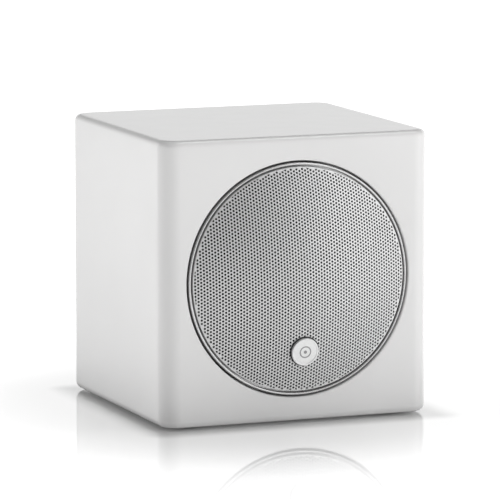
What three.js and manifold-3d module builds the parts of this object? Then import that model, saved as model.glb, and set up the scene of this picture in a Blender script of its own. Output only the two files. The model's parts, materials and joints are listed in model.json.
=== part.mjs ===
// A compact two-way bookshelf speaker: lacquered cabinet, coaxial driver, domed grille, binding posts.
// Millimetres. The front faces -Y, +X is to the right seen from the front, and +Z is up.
// The origin is the middle of the speaker's outer box, at the surface that it stands on.

import * as THREE from "three";
import { mergeVertices } from "three/addons/utils/BufferGeometryUtils.js";
import Module from "manifold-3d";

const wasm = await Module();
wasm.setup();

// ---------------------------------------------------------------- driving dimensions

const CABINET = { width: 125, height: 125, depth: 120, corner: 8.2, edge: 3 };
const WALL = 12.5; // side, top and bottom walls
const FOOT = { radius: 6, thick: 1.8, proud: 0.8, inset: 16 };

// Depths are measured back from the cabinet's front face.
const REBATE = { radius: 51.8, depth: 10, edge: 0.7 };
const CUTOUT_RADIUS = 44.5;
const BAFFLE = 19;
const LEDGE = { front: 101, back: 106, half: 46, corner: 10 };
const POCKET = { half: 52, corner: 4 };
const PANEL = { front: 107.4, back: 116.4, half: 51.6, corner: 3.6 };
const PANEL_SCREW = 46.4; // distance of each corner screw from the panel's middle, both ways
const SCREW = {
  panel: { head: 3.2, shank: 1.4, length: 15 },
  cup: { head: 2.2, rise: 1.2, shank: 1.2, length: 9, pilot: 1.5, pilotDepth: 7 },
  driver: { head: 2.1, rise: 1.2, shank: 1.3, length: 10.4 },
  hole: 1.8,
};
const PILOT_DEEPER = 0.5; // how much deeper a pilot hole is than its screw is long

const RING = { outer: 50.9, inner: 49.9, shelfInner: 45.2, shelf: 3.6, shelfThick: 1, crest: 0.3 };
const GRILLE = { radius: 49.2, sphere: 165.27, thick: 0.8, rim: -0.2, skirt: 2.6 };
const GRILLE_FRAME = { inner: 44.4, front: 1.1, back: 3.4 };
const CLOTH_SHEET = { radius: 43.8, gap: 0.2, thick: 0.4 };
const GRILLE_TURN = THREE.MathUtils.degToRad(1.5);
const BADGE = { radius: 6.25, thick: 1, rimHeight: 0.25, rimWidth: 0.7, slope: 0.1, below: 31 };

const FLANGE = { radius: 49.5, inner: 42.6, front: 6.4, back: 8.9 };
const BASKET = { inner: 30, seat: 28.8, back: 30.8 };
const WINDOW = { length: 120, depth: 13, width: 24, middle: 18.6, pairs: 3 };
const DRIVER_SCREW_RADIUS = 46.9;
const CONE = { rimRadius: 34.8, rim: 7.2, neckRadius: 13, neck: 20.5, thick: 0.6 };
const SURROUND = { middle: 38.75, roll: 4, thick: 0.6, foot: 33.4, edge: 44.5, depth: 5.4 };
const SPIDER = { middle: 27.2, wave: 0.6, thick: 0.4 };
const COIL = { inner: 12.6, outer: 12.9, winding: 13.3, front: 19.9, windingFront: 28, back: 39 };
const MAGNET = { radius: 36, inner: 16, plate: 31, front: 36.1, back: 48, yoke: 53 };
const POLE = { radius: 12.2, gap: 13.8, bore: 3 };
const TWEETER = { radius: 12, inner: 10.8, front: 9.2, back: 30.8, wall: 2 };
const DOME = { radius: 9.4, sphere: 14, edge: 11.2, skirt: 13.4, thick: 0.4 };
const TERMINAL_STRIP = { thick: 3, depth: 8, height: 14, across: -47, middle: 24 };

const CUP = {
  halfWidth: 20,
  halfHeight: 16,
  depth: 21,
  wall: 1.8,
  floor: 2,
  lip: 1.8,
  flange: 5,
  height: 45.8,
};
const INSERT = { height: 98, hole: 3, radius: 4.6, flange: 7, lip: 1.2, length: 12 };

// A binding post's depths are measured from the terminal cup's floor.
const POST = {
  spacing: 19,
  radius: 3.4,
  bore: 3.6,
  front: -9,
  back: 17,
  socket: { radius: 2.05, front: 1 },
  wireHole: { radius: 1.4, depth: 5 },
  nut: { radius: 5.4, front: -5 },
  base: { radius: 6.2, back: 3 },
  washer: { radius: 5.6, front: 3.1, back: 4.2 },
  cap: { radius: 6, groove: 0.5, ridges: 12, front: 4.4, back: 16.4 },
};

const WADDING_SHEET = { gap: 0.5, thick: 9, low: 46, front: 58, back: 97 };
const WIRE = { post: 0.9, lead: 0.9, tweeter: 0.8 }; // radii

const FIT = 0.3; // clearance between a piece and the hole that it sits in
const REST = 0.1; // clearance between flat faces that rest on each other
const CUT = 1; // how far a cutting tool reaches past the face that it opens

const AXIS_HEIGHT = CABINET.height / 2; // driver axis above the cabinet's bottom face
const CAVITY = CABINET.width / 2 - WALL;
const SPHERE_DROP = Math.sqrt(GRILLE.sphere ** 2 - GRILLE.radius ** 2);
const GRILLE_RISE = GRILLE.sphere - SPHERE_DROP - GRILLE.rim;

const SEGMENTS = { front: 48, large: 32, medium: 20, small: 16, tiny: 10, corner: 2 };

// ---------------------------------------------------------------- materials

function material(color, roughness, metalness) {
  return new THREE.MeshStandardMaterial({ color, roughness, metalness });
}

const LACQUER = material(0xf1f1ef, 0.12, 0);
const SILVER = material(0xb9bbbe, 0.35, 0.9);
const GRILLE_METAL = material(0xc9cacb, 0.45, 0.8);
const BADGE_METAL = material(0xdfe0e1, 0.3, 0.7);
const CLOTH = material(0x1d1d1f, 0.95, 0);
const BLACK_PLASTIC = material(0x18181a, 0.5, 0);
const RED_PLASTIC = material(0xa81c1c, 0.4, 0);
const RUBBER = material(0x242424, 0.85, 0);
const STEEL = material(0x9c9ea1, 0.35, 0.95);
const BLACK_STEEL = material(0x2a2a2c, 0.45, 0.7);
const BRASS = material(0xc79a45, 0.3, 0.95);
const CAST_ALLOY = material(0x55575a, 0.5, 0.8);
const CONE_METAL = material(0xc4c6c8, 0.35, 0.9);
const FERRITE = material(0x2d2d2f, 0.75, 0.1);
const COPPER = material(0xb4683a, 0.35, 0.9);
const BOARD = material(0x1f5c3a, 0.55, 0);
const FILM = material(0xd8b43a, 0.45, 0);
const CERAMIC = material(0xe6e2d8, 0.7, 0);
const FIBRE = material(0xc9a46a, 0.9, 0);
const WADDING = material(0xe9e7e0, 0.98, 0);
const FOAM = material(0x303032, 0.95, 0);

// ---------------------------------------------------------------- geometry helpers

// A closed three.js geometry as a manifold solid.
function solid(geometry) {
  const plain = geometry.clone();
  plain.deleteAttribute("normal");
  plain.deleteAttribute("uv");
  const merged = mergeVertices(plain, 1e-4);
  return new wasm.Manifold(
    new wasm.Mesh({
      numProp: 3,
      vertProperties: merged.getAttribute("position").array,
      triVerts: new Uint32Array(merged.index.array),
    }),
  );
}

// A manifold solid as a three.js geometry with flat shading.
function geometryOf(body) {
  const { numProp, numVert, vertProperties, triVerts } = body.getMesh();
  const position = new Float32Array(numVert * 3);
  for (let i = 0; i < numVert; i++)
    position.set(vertProperties.subarray(i * numProp, i * numProp + 3), i * 3);
  const geometry = new THREE.BufferGeometry();
  geometry.setAttribute("position", new THREE.BufferAttribute(position, 3));
  geometry.setIndex(new THREE.BufferAttribute(triVerts, 1));
  geometry.computeVertexNormals();
  return geometry;
}

function cut(geometry, ...tools) {
  let body = solid(geometry);
  for (const tool of tools) body = body.subtract(solid(tool));
  return geometryOf(body);
}

function join(geometry, ...others) {
  let body = solid(geometry);
  for (const other of others) body = body.add(solid(other));
  return geometryOf(body);
}

// A turned piece about the Y axis. Its section is a list of [radius, depth] points that starts and ends
// on the axis, or a closed ring where it stays off the axis.
function turned(section, segments) {
  const points = section.map(([radius, depth]) => new THREE.Vector2(radius, depth));
  const closed = section[0][0] > 0;
  const area = points.reduce((sum, p, i) => sum + p.cross(points[(i + 1) % points.length]), 0);
  if (area < 0) points.reverse();
  if (closed) points.push(points[0].clone());
  return new THREE.LatheGeometry(points, segments);
}

// A tube with square ends: a ring of rectangular section.
function washer(inner, outer, front, back, segments) {
  return turned([[inner, front], [outer, front], [outer, back], [inner, back]], segments);
}

function disc(radius, front, back, segments) {
  return turned([[0, front], [radius, front], [radius, back], [0, back]], segments);
}

// Points along an arc, from angle a to angle b in degrees, about a centre in the section plane.
function arc(centreRadius, centreDepth, radius, a, b, steps) {
  return Array.from({ length: steps + 1 }, (_, i) => {
    const angle = THREE.MathUtils.degToRad(a + ((b - a) * i) / steps);
    return [centreRadius + radius * Math.cos(angle), centreDepth + radius * Math.sin(angle)];
  });
}

function roundedRect(halfWidth, halfHeight, corner) {
  const shape = new THREE.Shape();
  const quadrants = [
    [1, -1, -90],
    [1, 1, 0],
    [-1, 1, 90],
    [-1, -1, 180],
  ];
  for (const [x, y, from] of quadrants) {
    const start = THREE.MathUtils.degToRad(from);
    const centreX = x * (halfWidth - corner);
    const centreY = y * (halfHeight - corner);
    shape.absarc(centreX, centreY, corner, start, start + Math.PI / 2, false);
  }
  shape.closePath();
  return shape;
}

// A flat piece parallel to the front face, between two depths, from a shape drawn across and up.
function slab(shape, front, back, curveSegments = SEGMENTS.corner) {
  const options = { depth: back - front, bevelEnabled: false, curveSegments };
  const geometry = new THREE.ExtrudeGeometry(shape, options);
  return geometry.rotateX(Math.PI / 2).translate(0, back, 0);
}

function block(width, depth, height, x, y, z) {
  return new THREE.BoxGeometry(width, depth, height).translate(x, y, z);
}

// Moves a piece turned about the Y axis to stand on another axis, across and up from the first.
function at(geometry, across, up) {
  return geometry.translate(across, 0, up);
}

// Round cutting tools of one size at several places.
function drilled(places, radius, front, back) {
  return places.map(([x, z]) => at(disc(radius, front, back, SEGMENTS.tiny), x, z));
}

function corners(distanceX, distanceZ) {
  return [[-1, 1], [1, 1], [1, -1], [-1, -1]].map(([x, z]) => [x * distanceX, z * distanceZ]);
}

// A round wire along a smooth curve through the given points.
function wire(points, radius, steps) {
  const path = new THREE.CatmullRomCurve3(points.map((p) => new THREE.Vector3(...p)));
  const section = new THREE.Shape().absarc(0, 0, radius, 0, Math.PI * 2, false);
  const options = { steps, curveSegments: 4, extrudePath: path, bevelEnabled: false };
  return new THREE.ExtrudeGeometry(section, options);
}

// ---------------------------------------------------------------- scene graph

// speaker: local Y is depth behind the front face, local Z is height above the cabinet's bottom face.
// onAxis: the same, with local Z measured from the driver's axis.
const group = new THREE.Group();
const speaker = new THREE.Group();
const onAxis = new THREE.Group();
speaker.position.set(0, (GRILLE_RISE - CABINET.depth) / 2, FOOT.proud);
onAxis.position.z = AXIS_HEIGHT;
group.add(speaker);
speaker.add(onAxis);

function piece(parent, name, geometry, finish) {
  const mesh = new THREE.Mesh(geometry, finish);
  mesh.name = name;
  parent.add(mesh);
  return mesh;
}

// ---------------------------------------------------------------- cabinet

function cabinetOutside() {
  const { width, height, depth, corner, edge } = CABINET;
  const plan = roundedRect(width / 2 - edge, depth / 2 - edge, corner - edge);
  return new THREE.ExtrudeGeometry(plan, {
    depth: height - 2 * edge,
    bevelEnabled: true,
    bevelSize: edge,
    bevelThickness: edge,
    bevelSegments: 3,
    curveSegments: SEGMENTS.corner,
  }).translate(0, depth / 2, edge);
}

// The stepped round opening: a softened front edge, the rebate for the driver, and the cut-out.
function frontOpening() {
  const { radius, depth, edge } = REBATE;
  const lip = arc(radius + edge, edge, edge, 270, 180, 2);
  return turned(
    [
      [0, -CUT],
      [radius + edge, -CUT],
      ...lip,
      [radius, depth],
      [CUTOUT_RADIUS, depth],
      [CUTOUT_RADIUS, BAFFLE + CUT],
      [0, BAFFLE + CUT],
    ],
    SEGMENTS.front,
  );
}

function panelScrewPlaces() {
  return corners(PANEL_SCREW, PANEL_SCREW);
}

function driverScrewPlaces() {
  const reach = DRIVER_SCREW_RADIUS * Math.SQRT1_2;
  return corners(reach, reach);
}

function footPlaces() {
  const { width, depth } = CABINET;
  return corners(width / 2 - FOOT.inset, depth / 2 - FOOT.inset);
}

// A flat square tool on the driver's axis, between two depths.
function squareTool({ half, corner }, front, back) {
  return slab(roundedRect(half, half, corner), front, back).translate(0, 0, AXIS_HEIGHT);
}

function footPocket([x, y]) {
  const radius = FOOT.radius + FIT;
  const height = 2 * (FOOT.thick - FOOT.proud + REST);
  return new THREE.CylinderGeometry(radius, radius, height, SEGMENTS.small)
    .rotateX(Math.PI / 2)
    .translate(x, y + CABINET.depth / 2, 0);
}

function cabinetShell() {
  const middle = (LEDGE.front + BAFFLE) / 2;
  const cavity = block(2 * CAVITY, LEDGE.front - BAFFLE, 2 * CAVITY, 0, middle, AXIS_HEIGHT);
  const ledge = squareTool(LEDGE, LEDGE.front - CUT, LEDGE.back + CUT);
  const pocket = squareTool(POCKET, LEDGE.back, CABINET.depth + CUT);
  const driverPilots = drilled(
    driverScrewPlaces(),
    SCREW.hole,
    REBATE.depth - CUT,
    FLANGE.front + SCREW.driver.length + PILOT_DEEPER,
  );
  const panelPilots = drilled(
    panelScrewPlaces(),
    SCREW.hole,
    LEDGE.front - CUT,
    LEDGE.back + CUT,
  );
  const pilots = [...driverPilots, ...panelPilots];
  return cut(
    cabinetOutside(),
    cavity,
    ledge,
    pocket,
    frontOpening().translate(0, 0, AXIS_HEIGHT),
    ...pilots.map((pilot) => pilot.translate(0, 0, AXIS_HEIGHT)),
    ...footPlaces().map(footPocket),
  );
}

piece(speaker, "cabinet_shell", cabinetShell(), LACQUER);

footPlaces().forEach(([x, y], i) => {
  const pad = new THREE.CylinderGeometry(FOOT.radius, FOOT.radius, FOOT.thick, SEGMENTS.small);
  const foot = piece(speaker, "foot_" + (i + 1), pad, RUBBER);
  foot.rotation.x = Math.PI / 2;
  foot.position.set(x, y + CABINET.depth / 2, FOOT.thick / 2 - FOOT.proud);
});

// ---------------------------------------------------------------- screws

// A pan-head screw pointing forwards or backwards along Y, with its head's seat at depth 0.
function panScrew({ head, rise, shank, length }) {
  return turned(
    [
      [0, -rise],
      [head * 0.6, -rise],
      [head, -rise * 0.4],
      [head, 0],
      [shank, 0],
      [shank, length - 2 * shank],
      [0, length],
    ],
    SEGMENTS.tiny,
  );
}

// A countersunk screw with its head's flat face at depth 0.
function sunkScrew({ head, shank, length }) {
  return turned(
    [
      [0, 0],
      [head, 0],
      [shank, head - shank],
      [shank, length - 2 * shank],
      [0, length],
    ],
    SEGMENTS.tiny,
  );
}

// ---------------------------------------------------------------- rear panel

// A countersunk hole through the panel, with room round the screw's head.
function sunkHole() {
  const head = SCREW.panel.head + 0.4;
  const { front, back } = PANEL;
  return turned(
    [
      [0, back + CUT],
      [head, back + CUT],
      [head, back],
      [SCREW.hole, back + SCREW.hole - head],
      [SCREW.hole, front - CUT],
      [0, front - CUT],
    ],
    SEGMENTS.tiny,
  );
}

function cupScrewPlaces() {
  const reach = CUP.halfWidth + CUP.flange / 2;
  return [-1, 1].map((side) => [side * reach, CUP.height - AXIS_HEIGHT]);
}

function rearPanel() {
  const { half, corner } = PANEL;
  const front = PANEL.front - CUT;
  const back = PANEL.back + CUT;
  const cupShape = roundedRect(CUP.halfWidth + FIT, CUP.halfHeight + FIT, 3);
  const cupHole = at(slab(cupShape, front, back), 0, CUP.height - AXIS_HEIGHT);
  const insertTool = disc(INSERT.radius + FIT, front, back, SEGMENTS.small);
  const pilotFront = PANEL.back - SCREW.cup.pilotDepth;
  return cut(
    slab(roundedRect(half, half, corner), PANEL.front, PANEL.back),
    cupHole,
    at(insertTool, 0, INSERT.height - AXIS_HEIGHT),
    ...drilled(cupScrewPlaces(), SCREW.cup.pilot, pilotFront, back),
    ...panelScrewPlaces().map(([x, z]) => at(sunkHole(), x, z)),
  );
}

function rearGasket() {
  const front = LEDGE.back + REST;
  const back = PANEL.front - REST;
  const outside = slab(roundedRect(PANEL.half, PANEL.half, PANEL.corner), front, back);
  const opening = roundedRect(LEDGE.half, LEDGE.half, LEDGE.corner);
  const holes = drilled(panelScrewPlaces(), SCREW.hole, front - CUT, back + CUT);
  return cut(outside, slab(opening, front - CUT, back + CUT), ...holes);
}

piece(onAxis, "rear_panel", rearPanel(), BLACK_PLASTIC);
piece(onAxis, "rear_panel_gasket", rearGasket(), FOAM);

panelScrewPlaces().forEach(([x, z], i) => {
  const name = "rear_panel_screw_" + (i + 1);
  const screw = piece(onAxis, name, sunkScrew(SCREW.panel), BLACK_STEEL);
  screw.position.set(x, PANEL.back, z);
  screw.rotation.z = Math.PI;
});

function bracketInsert() {
  const { hole, radius, flange, lip, length } = INSERT;
  const seat = PANEL.back + REST;
  const back = PANEL.back + lip;
  const front = PANEL.back - length;
  return turned(
    [
      [hole, front],
      [radius, front],
      [radius, seat],
      [flange, seat],
      [flange, back],
      [hole, back],
    ],
    SEGMENTS.small,
  );
}

piece(speaker, "wall_bracket_insert", bracketInsert(), BRASS).position.z = INSERT.height;

// ---------------------------------------------------------------- terminal cup and binding posts

const CUP_LIP = PANEL.back + REST;
const CUP_FLOOR = CUP_LIP - CUP.depth + CUP.floor;

function terminalCup() {
  const { halfWidth, halfHeight, wall, flange, floor, lip } = CUP;
  const flangeShape = roundedRect(halfWidth + flange, halfHeight + flange, 4);
  const rim = slab(flangeShape, CUP_LIP, CUP_LIP + lip);
  const box = slab(roundedRect(halfWidth, halfHeight, 3), CUP_FLOOR - floor, CUP_LIP + CUT);
  const insideShape = roundedRect(halfWidth - wall, halfHeight - wall, 2);
  const recess = slab(insideShape, CUP_FLOOR, CUP_LIP + lip + CUT);
  const studHoles = [-1, 1].map((side) => {
    const tool = disc(POST.radius + FIT, CUP_FLOOR - floor - CUT, CUP_FLOOR + CUT, SEGMENTS.small);
    return at(tool, (side * POST.spacing) / 2, 0);
  });
  const screwPlaces = cupScrewPlaces().map(([x]) => [x, 0]);
  const screwHoles = drilled(screwPlaces, SCREW.hole, CUP_LIP - CUT, CUP_LIP + lip + CUT);
  return cut(join(rim, box), recess, ...studHoles, ...screwHoles);
}

piece(speaker, "terminal_cup", terminalCup(), BLACK_PLASTIC).position.z = CUP.height;

cupScrewPlaces().forEach(([x, z], i) => {
  const name = "terminal_cup_screw_" + (i + 1);
  const screw = piece(onAxis, name, panScrew(SCREW.cup), BLACK_STEEL);
  screw.position.set(x, CUP_LIP + CUP.lip + REST, z);
  screw.rotation.z = Math.PI;
});

// The stud: a threaded rod with a plug socket in its rear end and a cross hole for a bare wire.
function postStud() {
  const { radius, front, back, socket, wireHole } = POST;
  const rod = turned(
    [
      [0, CUP_FLOOR + front],
      [radius, CUP_FLOOR + front],
      [radius, CUP_FLOOR + back],
      [socket.radius, CUP_FLOOR + back],
      [socket.radius, CUP_FLOOR + socket.front],
      [0, CUP_FLOOR + socket.front],
    ],
    SEGMENTS.small,
  );
  const through = 2 * (radius + CUT);
  const crossHole = new THREE.CylinderGeometry(wireHole.radius, wireHole.radius, through, 8);
  crossHole.rotateX(Math.PI / 2).translate(0, CUP_FLOOR + wireHole.depth, 0);
  return cut(rod, crossHole);
}

// A closed outline of straight edges through points at the given radii, evenly round the stud,
// with the stud's bore in it.
function aroundStud(radii) {
  const outline = new THREE.Shape(
    radii.map((radius, i) => {
      const angle = (2 * Math.PI * i) / radii.length;
      return new THREE.Vector2(radius * Math.cos(angle), radius * Math.sin(angle));
    }),
  );
  outline.holes.push(new THREE.Path().absarc(0, 0, POST.bore, 0, Math.PI * 2, true));
  return outline;
}

// The cap: a knurled knob, which clamps a wire against the washer.
function postCap() {
  const { radius, groove, ridges, front, back } = POST.cap;
  const radii = Array.from({ length: 2 * ridges }, (_, i) => (i % 2 ? radius : radius - groove));
  return slab(aroundStud(radii), CUP_FLOOR + front, CUP_FLOOR + back, SEGMENTS.small / 2);
}

function postNut() {
  const hexagon = aroundStud(new Array(6).fill(POST.nut.radius));
  const back = CUP_FLOOR - CUP.floor - REST;
  return slab(hexagon, CUP_FLOOR + POST.nut.front, back, SEGMENTS.small / 2);
}

function postRing(radius, front, back) {
  return washer(POST.bore, radius, CUP_FLOOR + front, CUP_FLOOR + back, SEGMENTS.small);
}

function bindingPost(name, side, plastic) {
  const post = new THREE.Group();
  post.position.set((side * POST.spacing) / 2, 0, CUP.height);
  speaker.add(post);
  piece(post, name + "_stud", postStud(), BRASS);
  piece(post, name + "_nut", postNut(), BRASS);
  piece(post, name + "_base", postRing(POST.base.radius, REST, POST.base.back), plastic);
  const { radius, front, back } = POST.washer;
  piece(post, name + "_washer", postRing(radius, front, back), BRASS);
  piece(post, name + "_cap", postCap(), plastic);
}

bindingPost("positive_post", -1, RED_PLASTIC);
bindingPost("negative_post", 1, BLACK_PLASTIC);

// ---------------------------------------------------------------- trim ring and grille

// The bright lip shows round the grille; its inner shelf covers the driver's screws.
function trimRing() {
  const { outer, inner, shelfInner, shelf, shelfThick, crest } = RING;
  const middle = (outer + inner) / 2;
  const lip = arc(middle, crest, (outer - inner) / 2, 180, 360, 3);
  return turned(
    [
      ...lip,
      [outer, REBATE.depth - REST],
      [inner, REBATE.depth - REST],
      [inner, shelf + shelfThick],
      [shelfInner, shelf + shelfThick],
      [shelfInner, shelf],
      [inner, shelf],
    ],
    SEGMENTS.front,
  );
}

function domePoints(radius, offset, steps) {
  const sphere = GRILLE.sphere - offset;
  const centre = GRILLE.rim + SPHERE_DROP;
  return Array.from({ length: steps + 1 }, (_, i) => {
    const r = (radius * i) / steps;
    return [r, centre - Math.sqrt(sphere ** 2 - r ** 2)];
  });
}

// The perforated sheet as a plain domed skin with its turned-down skirt.
function grilleMesh() {
  const { radius, thick, skirt } = GRILLE;
  const front = domePoints(radius, 0, 4);
  const back = domePoints(radius - thick, thick, 3).reverse();
  return turned([...front, [radius, skirt], [radius - thick, skirt], ...back], SEGMENTS.front);
}

function grilleCloth() {
  const { radius, thick } = CLOTH_SHEET;
  const gap = GRILLE.thick + CLOTH_SHEET.gap;
  const front = domePoints(radius, gap, 3);
  const back = domePoints(radius, gap + thick, 3).reverse();
  return turned([...front, ...back], SEGMENTS.large);
}

function badge() {
  const { radius, thick, rimHeight, rimWidth, slope } = BADGE;
  return turned(
    [
      [0, 0],
      [radius - 2 * slope - rimWidth, 0],
      [radius - slope - rimWidth, -rimHeight],
      [radius - 2 * slope, -rimHeight],
      [radius, slope],
      [radius, thick],
      [0, thick],
    ],
    SEGMENTS.medium,
  );
}

function grilleFrame() {
  const { inner, front, back } = GRILLE_FRAME;
  return washer(inner, GRILLE.radius - GRILLE.thick - FIT, front, back, SEGMENTS.large);
}

piece(onAxis, "trim_ring", trimRing(), SILVER);

const grille = new THREE.Group();
grille.rotation.y = -GRILLE_TURN;
onAxis.add(grille);
piece(grille, "grille_mesh", grilleMesh(), GRILLE_METAL);
piece(grille, "grille_cloth", grilleCloth(), CLOTH);
piece(grille, "grille_frame", grilleFrame(), BLACK_PLASTIC);

const badgeSlope = Math.asin(BADGE.below / GRILLE.sphere);
const badgePlate = piece(grille, "badge", badge(), BADGE_METAL);
const badgeOut = GRILLE.sphere + FIT + BADGE.thick;
badgePlate.rotation.x = badgeSlope;
badgePlate.position.set(
  0,
  GRILLE.rim + SPHERE_DROP - badgeOut * Math.cos(badgeSlope),
  -badgeOut * Math.sin(badgeSlope),
);

// ---------------------------------------------------------------- driver frame and motor

// The cast frame: a flange, a stepped basket that widens towards it, and six windows.
function driverFrame() {
  const { radius, inner, front, back } = FLANGE;
  const steps = [
    [43.6, back],
    [43.2, 17],
    [37.4, 26.4],
    [MAGNET.radius, BASKET.back],
  ];
  const insideSteps = [
    [BASKET.inner, BASKET.seat],
    [33, 28.6],
    [35, 25.4],
    [40.8, 16],
    [41.4, 9.4],
  ];
  const basket = turned(
    [
      [inner, front],
      [radius, front],
      [radius, back],
      ...steps,
      [BASKET.inner, BASKET.back],
      ...insideSteps,
    ],
    SEGMENTS.large,
  );
  const windows = Array.from({ length: WINDOW.pairs }, (_, i) => {
    const angle = ((i + 0.5) * Math.PI) / WINDOW.pairs;
    return block(WINDOW.length, WINDOW.depth, WINDOW.width, 0, WINDOW.middle, 0).rotateY(angle);
  });
  const holes = drilled(driverScrewPlaces(), SCREW.hole, front - CUT, back + CUT);
  return cut(basket, ...windows, ...holes);
}

function driverGasket() {
  const front = FLANGE.back + REST;
  const back = REBATE.depth - REST;
  const inner = CUTOUT_RADIUS + 0.2;
  const outer = FLANGE.radius - 0.2;
  const ring = washer(inner, outer, front, back, SEGMENTS.large);
  return cut(ring, ...drilled(driverScrewPlaces(), 1.6, front - CUT, back + CUT));
}

piece(onAxis, "driver_frame", driverFrame(), CAST_ALLOY);
piece(onAxis, "driver_gasket", driverGasket(), FOAM);
driverScrewPlaces().forEach(([x, z], i) => {
  const screw = piece(onAxis, "driver_screw_" + (i + 1), panScrew(SCREW.driver), BLACK_STEEL);
  screw.position.set(x, FLANGE.front - REST, z);
});

function motorYoke() {
  return turned(
    [
      [POLE.bore, MAGNET.plate],
      [POLE.radius, MAGNET.plate],
      [POLE.radius, MAGNET.back + REST],
      [MAGNET.radius, MAGNET.back + REST],
      [MAGNET.radius, MAGNET.yoke],
      [POLE.bore, MAGNET.yoke],
    ],
    SEGMENTS.large,
  );
}

const topPlate = washer(POLE.gap, MAGNET.radius, MAGNET.plate, MAGNET.front - REST, SEGMENTS.large);
const magnet = washer(MAGNET.inner, MAGNET.radius, MAGNET.front, MAGNET.back, SEGMENTS.large);
piece(onAxis, "top_plate", topPlate, STEEL);
piece(onAxis, "ring_magnet", magnet, FERRITE);
piece(onAxis, "pole_piece", motorYoke(), STEEL);

// ---------------------------------------------------------------- cone, coil and suspensions

function cone() {
  const { rimRadius, rim, neckRadius, neck, thick } = CONE;
  return turned(
    [
      [rimRadius - 1, rim - 0.2],
      [rimRadius, rim],
      [rimRadius, rim + thick],
      [neckRadius + 1.4, neck - thick],
      [neckRadius + 0.2, neck + 1],
      [neckRadius, neck + 1],
      [neckRadius, neck - 0.8],
    ],
    SEGMENTS.large,
  );
}

function voiceCoil() {
  const { inner, outer, winding, front, windingFront, back } = COIL;
  return turned(
    [
      [inner, front],
      [outer, front],
      [outer, windingFront],
      [winding, windingFront],
      [winding, back],
      [inner, back],
    ],
    SEGMENTS.medium,
  );
}

// A half roll between the cone's rim and the frame's lip.
function surround() {
  const { middle, roll, thick, foot, edge, depth } = SURROUND;
  const outside = arc(middle, depth, roll, 180, 360, 5);
  const inside = arc(middle, depth, roll - thick, 360, 180, 5);
  return turned(
    [
      [foot, 6.2],
      ...outside,
      [edge, depth],
      [edge, 6.3],
      [43.4, 6.3],
      ...inside,
      [35, 6.7],
      [foot, 6.7],
    ],
    SEGMENTS.large,
  );
}

// A corrugated disc from the coil former to the frame.
function spider() {
  const radii = [13.2, 15.5, 18.5, 21.5, 24.5, 27.5, 29.6];
  const { middle, wave, thick } = SPIDER;
  const depth = (i) => {
    if (i === 0 || i === radii.length - 1) return middle;
    return middle + (i % 2 ? -wave : wave);
  };
  const front = radii.map((radius, i) => [radius, depth(i)]);
  const back = radii.map((radius, i) => [radius, depth(i) + thick]).reverse();
  return turned([...front, ...back], SEGMENTS.medium);
}

piece(onAxis, "cone", cone(), CONE_METAL);
piece(onAxis, "voice_coil", voiceCoil(), COPPER);
piece(onAxis, "surround", surround(), RUBBER);
piece(onAxis, "spider", spider(), FIBRE);

function terminalStrip() {
  const { thick, depth, height, across, middle } = TERMINAL_STRIP;
  return block(thick, depth, height, across, middle, 0);
}

piece(onAxis, "driver_terminal_strip", terminalStrip(), FIBRE);

// ---------------------------------------------------------------- tweeter

const TWEETER_RIM = TWEETER.front + 2.2; // the back of the faceplate's ring

function tweeterHousing() {
  const { radius, inner, back, wall } = TWEETER;
  const front = TWEETER_RIM + 0.2;
  return turned(
    [
      [inner, front],
      [radius, front],
      [radius, back],
      [POLE.bore, back],
      [POLE.bore, back - wall],
      [inner, back - wall],
    ],
    SEGMENTS.medium,
  );
}

function tweeterDome() {
  const { radius, sphere, edge, skirt, thick } = DOME;
  const centre = edge + Math.sqrt(sphere ** 2 - radius ** 2);
  const cap = (edgeRadius, inset) =>
    Array.from({ length: 5 }, (_, i) => {
      const r = (edgeRadius * i) / 4;
      return [r, centre - Math.sqrt((sphere - inset) ** 2 - r ** 2)];
    });
  const front = cap(radius, 0);
  const back = cap(radius - thick, thick).reverse();
  const rim = [
    [radius, skirt],
    [radius - thick, skirt],
  ];
  return turned([...front, ...rim, ...back], SEGMENTS.medium);
}

// A short flare round the dome.
function tweeterFaceplate() {
  const { radius, front } = TWEETER;
  return turned(
    [
      [DOME.radius + 0.5, TWEETER_RIM],
      [DOME.radius + 0.9, front + 0.8],
      [radius - 0.6, front],
      [radius, front + 0.4],
      [radius, TWEETER_RIM],
    ],
    SEGMENTS.medium,
  );
}

piece(onAxis, "tweeter_housing", tweeterHousing(), BLACK_PLASTIC);
const slug = washer(2, 10, 16, TWEETER.back - TWEETER.wall - 0.2, SEGMENTS.medium);
piece(onAxis, "tweeter_magnet", slug, STEEL);
piece(onAxis, "tweeter_dome", tweeterDome(), CONE_METAL);
piece(onAxis, "tweeter_faceplate", tweeterFaceplate(), BLACK_PLASTIC);

// ---------------------------------------------------------------- crossover

const BOARD_PLATE = { y: 81, z: WALL + 4.6, width: 80, depth: 34, thick: 1.6 };
const BOARD_TOP = BOARD_PLATE.z + BOARD_PLATE.thick;
const PAD = { inset: 4, thick: 4.4 };

// A coil or disc standing on the board, with its axis vertical.
function standing(inner, outer, height) {
  return washer(inner, outer, 0, height, SEGMENTS.medium).rotateX(Math.PI / 2);
}

function lying(radius, length) {
  const body = new THREE.CylinderGeometry(radius, radius, length, SEGMENTS.small);
  return body.rotateZ(Math.PI / 2);
}

function onBoard(name, geometry, finish, x, y, height) {
  piece(speaker, name, geometry, finish).position.set(x, y, BOARD_TOP + REST + height);
}

function boardPlate() {
  const { y, z, width, depth, thick } = BOARD_PLATE;
  return block(width, depth, thick, 0, y, z + thick / 2);
}

function boardPad() {
  const { inset, thick } = PAD;
  const width = BOARD_PLATE.width - 2 * inset;
  const depth = BOARD_PLATE.depth - 2 * inset;
  return block(width, depth, thick, 0, BOARD_PLATE.y, WALL + REST + thick / 2);
}

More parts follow.
